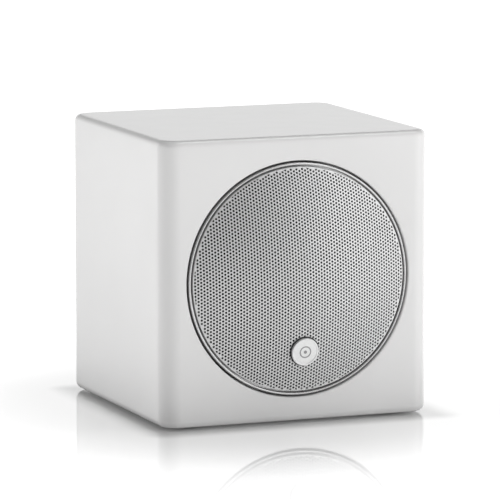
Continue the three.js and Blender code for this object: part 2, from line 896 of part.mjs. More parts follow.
piece(speaker, "crossover_board", boardPlate(), BOARD);
piece(speaker, "board_foam_pad", boardPad(), FOAM);
onBoard("bass_inductor", standing(6, 14, 14), COPPER, -24, 80, 14);
onBoard("tweeter_inductor", standing(4, 8.5, 10), COPPER, 30, 88, 10);
onBoard("electrolytic_capacitor", lying(6.5, 26), BLACK_PLASTIC, 4, 71.3, 6.5);
onBoard("film_capacitor", lying(5.5, 24), FILM, 5, 84, 5.5);
onBoard("ceramic_resistor", block(22, 6.4, 6.4, 0, 0, 0), CERAMIC, 28.6, 73.5, 3.2);

// ---------------------------------------------------------------- wiring and wadding

const WIRE_LIFT = 1.4; // a wire's middle above the board

function postWire(side) {
  const x = (side * POST.spacing) / 2;
  const end = CUP_FLOOR + POST.front - 1;
  return wire(
    [
      [x, end, CUP.height],
      [x, end - 3, CUP.height - 3],
      [x, end - 1, CUP.height - 9],
      [x * 1.3, end + 4, BOARD_TOP + 12],
      [x * 1.5, end + 7, BOARD_TOP + 5],
      [x * 1.5, end + 8, BOARD_TOP + WIRE_LIFT],
    ],
    WIRE.post,
    12,
  );
}

piece(speaker, "positive_post_wire", postWire(-1), RED_PLASTIC);
piece(speaker, "negative_post_wire", postWire(1), BLACK_PLASTIC);

const driverLead = wire(
  [
    [-36.5, 66.5, BOARD_TOP + WIRE_LIFT],
    [-40, 62, BOARD_TOP + 8],
    [-45, 54, 38],
    [-46.5, 44, 52],
    [-47, 34, 60],
    [-47, 28.6, AXIS_HEIGHT],
  ],
  WIRE.lead,
  14,
);
piece(speaker, "driver_lead", driverLead, BLACK_PLASTIC);

const tweeterLead = wire(
  [
    [14, 65.5, BOARD_TOP + 1.6],
    [12, 60, BOARD_TOP + 10],
    [3, 60, 48],
    [0, 58, 60],
    [0, 52, AXIS_HEIGHT],
    [0, 44, AXIS_HEIGHT],
    [0, 30, AXIS_HEIGHT],
  ],
  WIRE.tweeter,
  16,
);
piece(speaker, "tweeter_lead", tweeterLead, BLACK_PLASTIC);

// The wadding lines the top and both sides behind the driver.
function wadding() {
  const { gap, thick, low, front, back } = WADDING_SHEET;
  const outer = CAVITY - gap;
  const inner = outer - thick;
  const top = AXIS_HEIGHT + outer;
  const points = [
    [-outer, low],
    [-inner, low],
    [-inner, top - thick],
    [inner, top - thick],
    [inner, low],
    [outer, low],
    [outer, top],
    [-outer, top],
  ];
  const outline = new THREE.Shape(points.map(([x, z]) => new THREE.Vector2(x, z)));
  return slab(outline, front, back);
}

piece(speaker, "damping_wadding", wadding(), WADDING);

export default group;
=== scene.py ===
"""A compact white bookshelf speaker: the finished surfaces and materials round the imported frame."""

import json
import math

import bmesh
import bpy
import numpy as np
from mathutils import Matrix, Vector, noise
from mathutils.geometry import delaunay_2d_cdt


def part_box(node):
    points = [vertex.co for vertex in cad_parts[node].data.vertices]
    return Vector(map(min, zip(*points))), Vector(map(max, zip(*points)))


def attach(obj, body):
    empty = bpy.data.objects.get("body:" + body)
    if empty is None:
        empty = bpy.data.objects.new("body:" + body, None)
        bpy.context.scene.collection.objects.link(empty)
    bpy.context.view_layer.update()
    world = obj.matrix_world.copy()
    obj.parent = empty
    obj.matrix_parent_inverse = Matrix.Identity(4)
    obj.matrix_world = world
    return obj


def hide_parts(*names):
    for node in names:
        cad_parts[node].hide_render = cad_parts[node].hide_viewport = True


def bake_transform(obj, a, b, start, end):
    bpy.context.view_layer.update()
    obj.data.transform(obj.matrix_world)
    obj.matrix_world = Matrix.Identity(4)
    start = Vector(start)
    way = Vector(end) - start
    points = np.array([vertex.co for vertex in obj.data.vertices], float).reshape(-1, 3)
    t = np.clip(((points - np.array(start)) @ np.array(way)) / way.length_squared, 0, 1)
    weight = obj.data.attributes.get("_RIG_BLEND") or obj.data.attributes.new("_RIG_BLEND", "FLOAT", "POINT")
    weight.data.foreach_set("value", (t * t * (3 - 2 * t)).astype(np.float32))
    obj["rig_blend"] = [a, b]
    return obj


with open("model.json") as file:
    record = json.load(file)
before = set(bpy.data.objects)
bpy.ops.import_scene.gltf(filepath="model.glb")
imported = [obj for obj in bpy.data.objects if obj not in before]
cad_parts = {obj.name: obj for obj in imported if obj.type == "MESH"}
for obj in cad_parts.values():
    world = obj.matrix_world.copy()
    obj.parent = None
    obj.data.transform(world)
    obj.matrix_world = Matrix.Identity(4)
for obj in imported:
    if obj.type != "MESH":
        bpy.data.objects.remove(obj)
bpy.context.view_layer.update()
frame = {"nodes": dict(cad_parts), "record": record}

# ---- the frame's places and sizes

MM = 0.001
RECORD = frame["record"]
SLOT_OF = {part["node"]: part["material_slot"] for part in RECORD["subparts"]}
BODY_OF = {node: body for body, nodes in RECORD["behaviour"]["bodies"].items() for node in nodes}

# Shapes are made in millimetres: across, behind the cabinet's front face, and above its bottom face.
ORIGIN = Vector((0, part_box("cabinet_shell")[0].y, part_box("cabinet_shell")[0].z))


def extent(node):
    """A CAD node's lowest and highest corner, in the millimetres that shapes are made in."""
    low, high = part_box(node)
    return (low - ORIGIN) / MM, (high - ORIGIN) / MM


def middle(node):
    low, high = extent(node)
    return (low + high) / 2


WIDTH, DEPTH, HEIGHT = (extent("cabinet_shell")[1] - extent("cabinet_shell")[0])
AXIS_UP = middle("trim_ring").z  # the driver's axis above the cabinet's bottom face
ON_AXIS = Matrix.Translation((0, 0, AXIS_UP))

CORNER = 8.2  # the cabinet's vertical corners
EDGE = 3.0  # the rounding along its top and bottom edges
WALL = 12.5

# ---- outlines


def rounded(corners, closed=True, steps=6):
    """An outline with its corners rounded. A corner is (u, v, radius); radius 0 leaves it sharp."""
    outline = []
    for i, (u, v, radius) in enumerate(corners):
        here = Vector((u, v))
        at_end = not closed and i in (0, len(corners) - 1)
        if radius == 0 or at_end:
            outline.append(here)
            continue
        before = (Vector(corners[i - 1][:2]) - here).normalized()
        after = (Vector(corners[(i + 1) % len(corners)][:2]) - here).normalized()
        half = before.angle(after) / 2
        centre = here + (before + after).normalized() * radius / math.sin(half)
        start = here + before * radius / math.tan(half) - centre
        end = here + after * radius / math.tan(half) - centre
        sweep = start.angle_signed(end)
        for k in range(steps + 1):
            outline.append(centre + Matrix.Rotation(-sweep * k / steps, 2) @ start)
    return [tuple(point) for point in outline]


def rectangle(half_width, half_height, corner, up=0.0, steps=8):
    """A rounded rectangle round (0, up)."""
    w, h = half_width, half_height
    corners = [(-w, up - h, corner), (w, up - h, corner), (w, up + h, corner), (-w, up + h, corner)]
    return rounded(corners, steps=steps)


def circle(radius, count, across=0.0, up=0.0):
    turns = [2 * math.pi * k / count for k in range(count)]
    return [(across + radius * math.sin(a), up + radius * math.cos(a)) for a in turns]


def triangulated(outlines):
    """Triangles of the flat region inside the first outline and outside the others.

    The triangles hold places in the outlines' points, counted through all the outlines."""
    points = [Vector(point) for outline in outlines for point in outline]
    edges = []
    for outline in outlines:
        first = len(edges)
        count = len(outline)
        edges += [(first + k, first + (k + 1) % count) for k in range(count)]
    faces = delaunay_2d_cdt(points, edges, [], 0, 1e-6)[2]
    flat = np.array(points)
    starts, ends = flat[[a for a, b in edges]], flat[[b for a, b in edges]]
    kept = []
    for face in faces:
        u, v = flat[face].mean(0)
        crossed = (starts[:, 1] > v) != (ends[:, 1] > v)
        a, b = starts[crossed], ends[crossed]
        hits = a[:, 0] + (v - a[:, 1]) * (b[:, 0] - a[:, 0]) / (b[:, 1] - a[:, 1]) > u
        if hits.sum() % 2:
            kept.append(face)
    return kept


# ---- shapes


class Shape:
    """A closed surface in the making."""

    def __init__(self):
        self.points = []
        self.faces = []

    def loop(self, points):
        """Adds points and returns their numbers."""
        first = len(self.points)
        self.points.extend(tuple(point) for point in points)
        return list(range(first, len(self.points)))

    def flat_loop(self, outline, depth):
        """A loop parallel to the front face, from an outline drawn across and up."""
        return self.loop((u, depth, v) for u, v in outline)

    def band(self, a, b, skip=()):
        """Quads between two loops of one length, or triangles where one is a single point."""
        count = max(len(a), len(b))
        for i in range(count):
            if i in skip:
                continue
            j = (i + 1) % count
            corners = [a[i % len(a)], a[j % len(a)], b[j % len(b)], b[i % len(b)]]
            self.faces.append(tuple(dict.fromkeys(corners)))

    def bands(self, loops):
        for a, b in zip(loops, loops[1:]):
            self.band(a, b)

    def region(self, *loops):
        """Fills the flat region inside the first loop and outside the others."""
        corners = np.array([self.points[i] for i in loops[0]])
        flat_axis = int(np.argmin(np.ptp(corners, axis=0)))
        u, v = [axis for axis in range(3) if axis != flat_axis]
        outlines = [[(self.points[i][u], self.points[i][v]) for i in loop] for loop in loops]
        numbers = [i for loop in loops for i in loop]
        self.faces += [tuple(numbers[i] for i in face) for face in triangulated(outlines)]

    def placed(self, matrix):
        self.points = [tuple(matrix @ Vector(point)) for point in self.points]
        return self

    def built(self, name, sharp=40.0, even=True):
        """The mesh object, in metres in the row frame, with all its faces pointing out."""
        mesh = bpy.data.meshes.new(name)
        mesh.from_pydata([ORIGIN + Vector(point) * MM for point in self.points], [], self.faces)
        work = bmesh.new()
        work.from_mesh(mesh)
        bmesh.ops.recalc_face_normals(work, faces=work.faces)
        work.to_mesh(mesh)
        work.free()
        made = bpy.data.objects.new(name, mesh)
        bpy.context.scene.collection.objects.link(made)
        return shaded(made, sharp, even)


def shaded(piece, sharp=40.0, even=True):
    """Smooth shading that keeps flat faces flat beside their rounded edges."""
    piece.data.shade_smooth()
    piece.data.set_sharp_from_angle(angle=math.radians(sharp))
    if even:
        piece.modifiers.new("even shading", "WEIGHTED_NORMAL").keep_sharp = True
    return piece


def carved(piece, *cutters):
    """Applies a piece's modifiers, cuts the cutters out of it, and removes them."""
    if "even shading" in piece.modifiers:
        piece.modifiers.remove(piece.modifiers["even shading"])
    for cutter in cutters:
        cut = piece.modifiers.new("cut", "BOOLEAN")
        cut.operation = "DIFFERENCE"
        cut.solver = "EXACT"
        cut.object = cutter
    bpy.context.view_layer.update()
    evaluated = piece.evaluated_get(bpy.context.evaluated_depsgraph_get())
    piece.data = bpy.data.meshes.new_from_object(evaluated)
    piece.modifiers.clear()
    for cutter in cutters:
        bpy.data.objects.remove(cutter)
    return shaded(piece)


def turned(section, count=128):
    """A piece turned about the Y axis from a section of (radius, depth) points.

    The section starts and ends on the axis, or closes on itself where it stays off the axis."""
    shape = Shape()
    loops = []
    for radius, depth in section:
        on_axis = radius < 1e-6
        ring = [(0, 0)] if on_axis else circle(radius, count)
        loops.append(shape.flat_loop(ring, depth))
    if section[0][0] > 1e-6:
        loops.append(loops[0])
    shape.bands(loops)
    return shape


def stack(outlines):
    """A solid from a stack of (outline, depth) layers, closed flat at both ends."""
    shape = Shape()
    loops = [shape.flat_loop(outline, depth) for outline, depth in outlines]
    shape.bands(loops)
    shape.region(loops[0])
    shape.region(loops[-1])
    return shape


def plate(outline, front, back, edge, holes=()):
    """A flat piece between two depths, its back edge rounded. outline(inset) gives its outline.

    A hole is a list of (outline, depth) layers from the back face. It is blind where its last
    layer lies short of the front face."""
    shape = Shape()
    side = [shape.flat_loop(outline(inset), back - travel) for inset, travel in quarter(edge)]
    side.append(shape.flat_loop(outline(0), front))
    shape.bands(side)
    mouths, ends = [], []
    for layers in holes:
        loops = [shape.flat_loop(*layer) for layer in layers]
        shape.bands(loops)
        mouths.append(loops[0])
        if math.isclose(layers[-1][1], front):
            ends.append(loops[-1])
        else:
            shape.region(loops[-1])
    shape.region(side[0], *mouths)
    shape.region(side[-1], *ends)
    return shape


def quarter(radius, steps=6):
    """(inset, travel) pairs down a quarter-round edge, from the flat face to the side."""
    turns = [math.pi / 2 * k / steps for k in range(steps + 1)]
    return [(radius * (1 - math.sin(a)), radius * (1 - math.cos(a))) for a in turns]


# ---- materials


class Nodes:
    """The node tree of a material or a world."""

    def __init__(self, owner):
        owner.use_nodes = True
        self.tree = owner.node_tree

    def node(self, kind, **settings):
        made = self.tree.nodes.new(kind)
        for name, value in settings.items():
            setattr(made, name, value)
        return made

    def link(self, source, target):
        self.tree.links.new(source, target)

    def ranged(self, value, start, end, low, high, **settings):
        """A value that runs from low to high while the input runs from start to end."""
        scale = self.node("ShaderNodeMapRange", **settings)
        limits = {"From Min": start, "From Max": end, "To Min": low, "To Max": high}
        for socket, limit in limits.items():
            scale.inputs[socket].default_value = limit
        self.link(value, scale.inputs["Value"])
        return scale.outputs["Result"]

    def eased(self, value, start, end, low, high):
        return self.ranged(value, start, end, low, high, interpolation_type="SMOOTHSTEP")

    def product(self, a, b):
        times = self.node("ShaderNodeMath", operation="MULTIPLY")
        self.link(a, times.inputs[0])
        self.link(b, times.inputs[1])
        return times.outputs["Value"]


NOISE_RANGE = (0.3, 0.7)  # the part of a noise's range that is spread over a colour or a roughness


class Look(Nodes):
    """A Principled material whose colour, roughness and relief vary over the surface."""

    def __init__(self, name, colour, roughness, **sockets):
        self.material = bpy.data.materials.new(name)
        super().__init__(self.material)
        self.shader = self.tree.nodes["Principled BSDF"]
        self.shader.inputs["Base Color"].default_value = (*colour, 1)
        self.shader.inputs["Roughness"].default_value = roughness
        for socket, value in sockets.items():
            self.shader.inputs[socket.replace("_", " ")].default_value = value
        self.place = self.node("ShaderNodeTexCoord").outputs["Object"]

    def stretched(self, factors):
        """Coordinates stretched along the axes, for brushed or drawn surfaces."""
        mapping = self.node("ShaderNodeMapping")
        mapping.inputs["Scale"].default_value = factors
        self.link(self.place, mapping.inputs["Vector"])
        return mapping.outputs["Vector"]

    def noise(self, size, detail, along=None):
        """Soft random variation whose features are about size millimetres across."""
        made = self.node("ShaderNodeTexNoise")
        made.inputs["Scale"].default_value = 1 / (size * MM)
        made.inputs["Detail"].default_value = detail
        self.link(along or self.place, made.inputs["Vector"])
        return made.outputs["Fac"]

    def cells(self, size, feature="F1"):
        """Rounded grains about size millimetres across."""
        made = self.node("ShaderNodeTexVoronoi", feature=feature)
        made.inputs["Scale"].default_value = 1 / (size * MM)
        self.link(self.place, made.inputs["Vector"])
        return made.outputs["Distance"]

    def wave(self, size, direction):
        """Even ridges, size millimetres from one to the next."""
        made = self.node("ShaderNodeTexWave", wave_type="BANDS", bands_direction=direction)
        made.inputs["Scale"].default_value = math.pi / (10 * size * MM)
        self.link(self.place, made.inputs["Vector"])
        return made.outputs["Fac"]

    def coloured(self, factor, low, high):
        """The colour runs from low to high over the factor's middle range."""
        ramp = self.node("ShaderNodeValToRGB")
        for element, position, colour in zip(ramp.color_ramp.elements, NOISE_RANGE, (low, high)):
            element.position = position
            element.color = (*colour, 1)
        self.link(factor, ramp.inputs["Fac"])
        self.link(ramp.outputs["Color"], self.shader.inputs["Base Color"])
        return self

    def roughened(self, factor, low, high):
        self.link(self.ranged(factor, *NOISE_RANGE, low, high), self.shader.inputs["Roughness"])
        return self

    def raised(self, factor, height):
        """Relief of the given height in millimetres. A second call adds its relief to the first."""
        bump = self.node("ShaderNodeBump")
        bump.inputs["Distance"].default_value = height * MM
        self.link(factor, bump.inputs["Height"])
        normal = self.shader.inputs["Normal"]
        if normal.links:
            self.link(normal.links[0].from_socket, bump.inputs["Normal"])
        self.link(bump.outputs["Normal"], normal)
        return self


def grey(value, warmth=0.0):
    return (value * (1 + warmth), value, value * (1 - warmth))


def surface(
    name, colour, roughness, shades, gloss=None, relief=None, grain=None, ridges=None, **sockets
):
    """A look made of noise, with sizes and heights in millimetres.

    shades and gloss are (size, detail, low, high), for the colour and for the roughness. The relief is
    one of relief (size, detail, height), grain (size, height) and ridges (axes, size, height)."""
    look = Look(name, colour, roughness, **sockets)
    look.coloured(look.noise(*shades[:2]), *shades[2:])
    if gloss:
        look.roughened(look.noise(*gloss[:2]), *gloss[2:])
    if relief:
        look.raised(look.noise(*relief[:2]), relief[2])
    if grain:
        look.raised(look.cells(grain[0]), grain[1])
    if ridges:
        axes, size, height = ridges
        for axis in axes:
            look.raised(look.wave(size, axis), height)
    return look


def moulded(name, low, high, roughness, grain):
    """A moulded plastic with a fine spark-eroded grain."""
    gloss = (0.8, 3, roughness - 0.06, roughness + 0.1)
    return surface(name, high, roughness, (6, 4, low, high), gloss, grain=(grain, 0.012))


def metal(name, low, high, roughness):
    """A machined or plated metal with fine uneven gloss."""
    gloss = (0.5, 4, roughness - 0.07, roughness + 0.1)
    return surface(name, high, roughness, (3, 3, low, high), gloss, (0.5 / 3, 3, 0.0015), Metallic=1.0)


def badge_metal():
    look = Look("satin badge face", grey(0.82), 0.32, Metallic=0.6)
    look.coloured(look.noise(0.8, 3), grey(0.79), grey(0.85))
    brushed = look.noise(0.06, 3, look.stretched((0.05, 1, 1)))
    return look.roughened(brushed, 0.28, 0.4).raised(brushed, 0.001)


def circuit_board():
    look = Look("green solder mask", (0.015, 0.09, 0.04), 0.35, Coat_Weight=0.3)
    look.coloured(look.cells(5, "F2"), (0.012, 0.07, 0.03), (0.02, 0.13, 0.055))
    return look.raised(look.noise(0.4, 3), 0.01)


def foam():
    look = Look("closed cell foam", grey(0.03), 0.95)
    look.coloured(look.cells(0.5), grey(0.02), grey(0.05))
    return look.raised(look.cells(0.5), 0.12)


LOOKS = {
    "lacquer": surface(
        "gloss white lacquer", grey(0.86), 0.1, (60, 3, grey(0.852, 0.004), grey(0.872, 0.004)),
        (18, 4, 0.08, 0.14), (2.6, 2, 0.0025)
    ),
    "silver_trim": surface(
        "satin silver trim", grey(0.6), 0.3, (1.2, 4, grey(0.55), grey(0.63)),
        (0.7, 3, 0.26, 0.38), (0.12, 2, 0.002), Metallic=0.9
    ),
    "grille_metal": surface(
        "silver powder coat", grey(0.72), 0.42, (0.18, 3, grey(0.66), grey(0.78)),
        (0.3, 3, 0.34, 0.5), grain=(0.09, 0.004), Metallic=0.55
    ),
    "badge_metal": badge_metal(),
    "grille_cloth": surface(
        "black acoustic cloth", grey(0.02), 0.95, (0.5, 3, grey(0.014), grey(0.03)),
        ridges=("XZ", 0.35, 0.05), Sheen_Weight=0.25, Sheen_Roughness=0.6
    ),
    "black_plastic": moulded("black moulded plastic", grey(0.014), grey(0.024), 0.45, 0.35),
    "red_plastic": moulded("red moulded plastic", (0.38, 0.012, 0.012), (0.46, 0.02, 0.018), 0.35, 0.5),
    "rubber": surface(
        "matt black rubber", grey(0.025), 0.75, (3, 4, grey(0.018), grey(0.034)),
        (1.5, 3, 0.62, 0.85), (0.25, 3, 0.006)
    ),
    "steel": metal("zinc plated steel", grey(0.42), grey(0.52), 0.32),
    "black_steel": metal("black zinc plate", grey(0.035), grey(0.06), 0.4),
    "brass": metal("gold plated brass", (0.66, 0.45, 0.15), (0.78, 0.57, 0.24), 0.2),
    "cast_alloy": surface(
        "powder coated casting", grey(0.05), 0.55, (4, 4, grey(0.04), grey(0.07)),
        grain=(0.5, 0.03), Metallic=0.3
    ),
    "cone_metal": surface(
        "anodised aluminium cone", grey(0.6), 0.34, (8, 3, grey(0.55), grey(0.63)),
        (0.4, 4, 0.28, 0.42), (0.4, 4, 0.003), Metallic=1.0
    ),
    "ferrite": surface(
        "ground ferrite", grey(0.03), 0.7, (1.5, 5, grey(0.02), grey(0.05)), relief=(0.3, 4, 0.01)
    ),
    "copper": surface(
        "enamelled copper wire", (0.6, 0.26, 0.12), 0.28, (2, 3, (0.5, 0.2, 0.08), (0.68, 0.32, 0.16)),
        ridges=("Z", 0.8, 0.2), Metallic=0.9, Coat_Weight=0.4
    ),
    "circuit_board": circuit_board(),
    "film_capacitor": surface(
        "yellow tape wrap", (0.6, 0.42, 0.05), 0.3, (5, 3, (0.54, 0.36, 0.04), (0.65, 0.47, 0.07)),
        ridges=("X", 6, 0.08)
    ),
    "ceramic": surface(
        "unglazed ceramic", (0.72, 0.69, 0.62), 0.8, (1.2, 5, (0.64, 0.6, 0.52), (0.76, 0.73, 0.66)),
        relief=(0.3, 4, 0.02)
    ),
    "fibre": surface(
        "resin treated fibre", (0.45, 0.3, 0.13), 0.85, (1, 4, (0.36, 0.23, 0.09), (0.52, 0.36, 0.17)),
        ridges=("XZ", 0.7, 0.05)
    ),
    "wadding": surface(
        "white polyester fibre", (0.8, 0.79, 0.75), 1.0, (3, 6, (0.7, 0.69, 0.65), (0.84, 0.83, 0.8)),
        relief=(2, 8, 1.0), Sheen_Weight=0.5
    ),
    "foam": foam(),
}
BADGE_INLAY = surface(
    "grey badge inlay", grey(0.33), 0.45, (0.5, 3, grey(0.3), grey(0.36)),
    relief=(0.1, 2, 0.001), Metallic=0.3
)


# ---- pieces


def dressed(piece, node):
    """The piece stands for a CAD node: it rides on the node's body and takes its slot's material."""
    piece.data.materials.append(LOOKS[SLOT_OF[node]].material)
    if "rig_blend" not in piece:
        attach(piece, BODY_OF[node])
    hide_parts(node)
    return piece


def added(piece, beside, look):
    """The piece stands for no CAD node, and rides on another node's body."""
    piece.data.materials.append(look.material)
    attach(piece, BODY_OF[beside])


def turned_piece(section, name, node, count=128, **shading):
    """A piece that is turned about the driver's axis."""
    return dressed(turned(section, count).placed(ON_AXIS).built(name, **shading), node)


def places(kind, count=4):
    """The middles of the CAD nodes kind_1, kind_2 and so on."""
    return [middle(f"{kind}_{number}") for number in range(1, count + 1)]


def through(outline, low, high):
    """A straight hole through a plate between two corners' depths, from its back face."""
    return [(outline, high.y), (outline, low.y)]


for name, node in frame["nodes"].items():
    for slot in node.material_slots:
        slot.material = LOOKS[SLOT_OF[name]].material

# ---- cabinet

REBATE = {"radius": 51.8, "depth": 10.0, "edge": 0.7}
CUTOUT_RADIUS = 44.5
BAFFLE = 19.0
LEDGE = {"front": 101.0, "back": 106.0, "half": 46.0, "corner": 10.0}
POCKET = {"half": 52.0, "corner": 4.0, "edge": 0.5}
FOOT_POCKET = {"radius": 6.3, "depth": 1.1}
CIRCLE_COUNT = 192


def cabinet():
    """The lacquered shell: outside, front opening, cavity and rear pocket, as one surface."""
    shape = Shape()

    def plan(inset, up):
        half = WIDTH / 2 - inset
        radius = CORNER - inset
        ends = [(-half, inset), (half, inset), (half, DEPTH - inset), (-half, DEPTH - inset)]
        outline = rounded([(u, v, radius) for u, v in ends], steps=10)
        return shape.loop((u, v, up) for u, v in outline)

    bottom = [plan(inset, up) for inset, up in quarter(EDGE)]
    top = [plan(inset, HEIGHT - up) for inset, up in reversed(quarter(EDGE))]
    shape.bands(bottom)
    shape.bands(top)
    low, high = bottom[-1], top[0]
    count = len(low)

    def side_at(depth):
        depths = [shape.points[i][1] for i in low]
        sums = [depths[i] + depths[(i + 1) % count] for i in range(count)]
        return next(i for i in range(count) if math.isclose(sums[i], 2 * depth, abs_tol=1e-4))

    front, rear = side_at(0), side_at(DEPTH)
    shape.band(low, high, skip=(front, rear))

    def wall(start):
        end = (start + 1) % count
        return [low[start], low[end], high[end], high[start]]

    def ring(radius, depth):
        return shape.flat_loop(circle(radius, CIRCLE_COUNT, up=AXIS_UP), depth)

    edge = quarter(REBATE["edge"])[::-1]
    opening = [ring(REBATE["radius"] + travel, inset) for inset, travel in edge]
    step = [ring(REBATE["radius"], REBATE["depth"]), ring(CUTOUT_RADIUS, REBATE["depth"])]
    behind = ring(CUTOUT_RADIUS, BAFFLE)
    shape.region(wall(front), opening[0])
    shape.bands([*opening, *step, behind])

    def square(half, corner, depth):
        return shape.flat_loop(rectangle(half, half, corner, up=AXIS_UP), depth)

    cavity = WIDTH / 2 - WALL
    inside = [square(cavity, 2.0, BAFFLE), square(cavity, 2.0, LEDGE["front"])]
    ledge = [square(LEDGE["half"], LEDGE["corner"], LEDGE[side]) for side in ("front", "back")]
    pocket = [square(POCKET["half"], POCKET["corner"], LEDGE["back"])]
    for inset, travel in reversed(quarter(POCKET["edge"])):
        pocket.append(square(POCKET["half"] + travel, POCKET["corner"] + travel, DEPTH - inset))
    shape.region(inside[0], behind)
    shape.band(*inside)
    shape.region(inside[1], ledge[0])
    shape.band(*ledge)
    shape.region(pocket[0], ledge[1])
    shape.bands(pocket)
    shape.region(wall(rear), pocket[-1])

    holes = []
    for at in places("foot"):
        outline = circle(FOOT_POCKET["radius"], 48, at.x, at.y)
        mouth = shape.loop((u, v, 0) for u, v in outline)
        floor = shape.loop((u, v, FOOT_POCKET["depth"]) for u, v in outline)
        shape.band(mouth, floor)
        shape.region(floor)
        holes.append(mouth)
    shape.region(bottom[0], *holes)
    shape.region(top[-1])
    return shape.built("cabinet")


dressed(cabinet(), "cabinet_shell")


def upright(node):
    """Stands a shape turned about the depth axis at a node's foot."""
    centre, low = middle(node), extent(node)[0]
    return Matrix.Translation((centre.x, centre.y, low.z)) @ Matrix.Rotation(math.pi / 2, 4, "X")


def feet():
    """Soft pads with a rounded rim, each in its own pocket under the cabinet."""
    for number in range(1, 5):
        node = f"foot_{number}"
        low, high = extent(node)
        radius, thick = (high.x - low.x) / 2, high.z - low.z
        corners = [(0, 0, 0), (radius, 0, 0.5), (radius, thick, 0.2), (0, thick, 0)]
        pad = turned(rounded(corners, closed=False), 64).placed(upright(node))
        dressed(pad.built(f"rubber_foot_{number}"), node)


feet()

# ---- trim ring


def trim_ring():
    low, high = extent("trim_ring")
    outer, inner = high.x, high.x - 1.0
    shelf, shelf_front, shelf_back = 45.2, 3.6, 4.6
    lip = (outer - inner) / 2 - 0.02
    corners = [
        (inner, low.y, lip),
        (outer, low.y, lip),
        (outer, high.y, 0.15),
        (inner, high.y, 0.15),
        (inner, shelf_back, 0.1),
        (shelf, shelf_back, 0.2),
        (shelf, shelf_front, 0.3),
        (inner, shelf_front, 0.1),
    ]
    turned_piece(rounded(corners), "silver_trim_ring", "trim_ring", CIRCLE_COUNT)


trim_ring()

# ---- grille

GRILLE_TURN = math.radians(1.5)
PITCH = 1.525  # from one hole's middle to the next, along the sheet
HOLE_RADIUS = 0.525
HOLE_SIDES = 11
SHEET = 0.5
GRILLE_RADIUS = extent("grille_mesh")[1].x
BEND = 0.4  # from the edge of the flat sheet, formed over the dome, to the skirt
DOME_FRONT = extent("grille_mesh")[0].y
DOME_RIM = -0.2
SKIRT_BACK = extent("grille_mesh")[1].y
MARGIN = 0.12  # from the flat sheet's edge to the holes that it cuts short
SPHERE = (GRILLE_RADIUS**2 + (DOME_RIM - DOME_FRONT) ** 2) / (2 * (DOME_RIM - DOME_FRONT))


def on_dome(u, v, inset=0.0):
    """A point of the flat sheet, formed over the dome: arc lengths are kept along every radius."""
    slope = math.hypot(u, v) / SPHERE
    radius = (SPHERE - inset) * math.sin(slope)
    depth = DOME_FRONT + SPHERE - (SPHERE - inset) * math.cos(slope)
    direction = math.atan2(v, u) + GRILLE_TURN
    return radius * math.cos(direction), depth, radius * math.sin(direction)


def dome_depth(radius, inset=0.0):
    return DOME_FRONT + SPHERE - math.sqrt((SPHERE - inset) ** 2 - radius**2)


def hole_outlines(limit):
    """The staggered holes of the flat sheet. Those at the edge are cut short by it."""
    column = PITCH * math.sqrt(3) / 2
    reach = math.ceil(limit / column)
    outlines = []
    for i in range(-reach, reach + 1):
        for j in range(-reach, reach + 1):
            centre = Vector((i * column, (j + i % 2 / 2) * PITCH))
            if centre.length > limit:
                continue
            points = []
            for k in range(HOLE_SIDES):
                turn = (k + 0.5) * 2 * math.pi / HOLE_SIDES
                point = centre + HOLE_RADIUS * Vector((math.cos(turn), math.sin(turn)))
                points.append(point * min(1, limit / point.length))
            outlines.append(points)
    return outlines


def perforated_sheet():
    """The domed grille: a sheet with round holes, and a skirt turned back round its edge."""
    radius = GRILLE_RADIUS
    rim = radius - BEND
    edge_radius = SPHERE * math.asin(rim / SPHERE)
    edge = [edge_radius * Vector(point) for point in circle(1.0, 2 * CIRCLE_COUNT)]
    holes = hole_outlines(edge_radius - MARGIN)
    flat = edge + [point for hole in holes for point in hole]
    sides = [(k, (k + 1) % len(edge)) for k in range(len(edge))]
    for number in range(len(holes)):
        first = len(edge) + number * HOLE_SIDES
        sides += [(first + k, first + (k + 1) % HOLE_SIDES) for k in range(HOLE_SIDES)]
    faces = delaunay_2d_cdt(flat, sides, [], 0, 1e-6)[2]

    def hole_of(point):
        return max(-1, (point - len(edge)) // HOLE_SIDES)

    sheet = [f for f in faces if hole_of(f[0]) < 0 or len({hole_of(i) for i in f}) > 1]
    shape = Shape()
    front = shape.loop(on_dome(*point) for point in flat)
    back = shape.loop(on_dome(*point, SHEET) for point in flat)
    shape.faces += [tuple(front[i] for i in face) for face in sheet]
    shape.faces += [tuple(back[i] for i in face) for face in sheet]
    shape.faces += [(front[a], front[b], back[b], back[a]) for a, b in sides[len(edge):]]

    inside = radius - SHEET
    corners = [
        (rim, dome_depth(rim), 0),
        (radius, dome_depth(radius), BEND),
        (radius, SKIRT_BACK, 0.15),
        (inside, SKIRT_BACK, 0.15),
        (inside, dome_depth(inside, SHEET), 0.05),
        (rim - 0.15, dome_depth(rim, SHEET), 0),
    ]
    section = rounded(corners, closed=False, steps=4)[1:-1]
    turns = [math.atan2(point.y, point.x) + GRILLE_TURN for point in edge]
    skirt = [shape.loop((r * math.cos(a), s, r * math.sin(a)) for a in turns) for r, s in section]
    shape.bands([front[: len(edge)], *skirt, back[: len(edge)]])
    return shape.placed(ON_AXIS).built("perforated_grille", even=False)


dressed(perforated_sheet(), "grille_mesh")


def acoustic_cloth():
    """Black cloth stretched over the inside of the dome."""
    low, high = extent("grille_cloth")
    radius, thick, steps = high.x, 0.3, 24
    radii = [radius * k / steps for k in range(steps + 1)]
    gap = low.y - DOME_FRONT
    front = [(r, dome_depth(r, gap)) for r in radii]
    back = [(r, dome_depth(r, gap + thick)) for r in reversed(radii)]
    cloth = turned_piece(front + back, "acoustic_cloth", "grille_cloth", 96)


acoustic_cloth()

# ---- badge

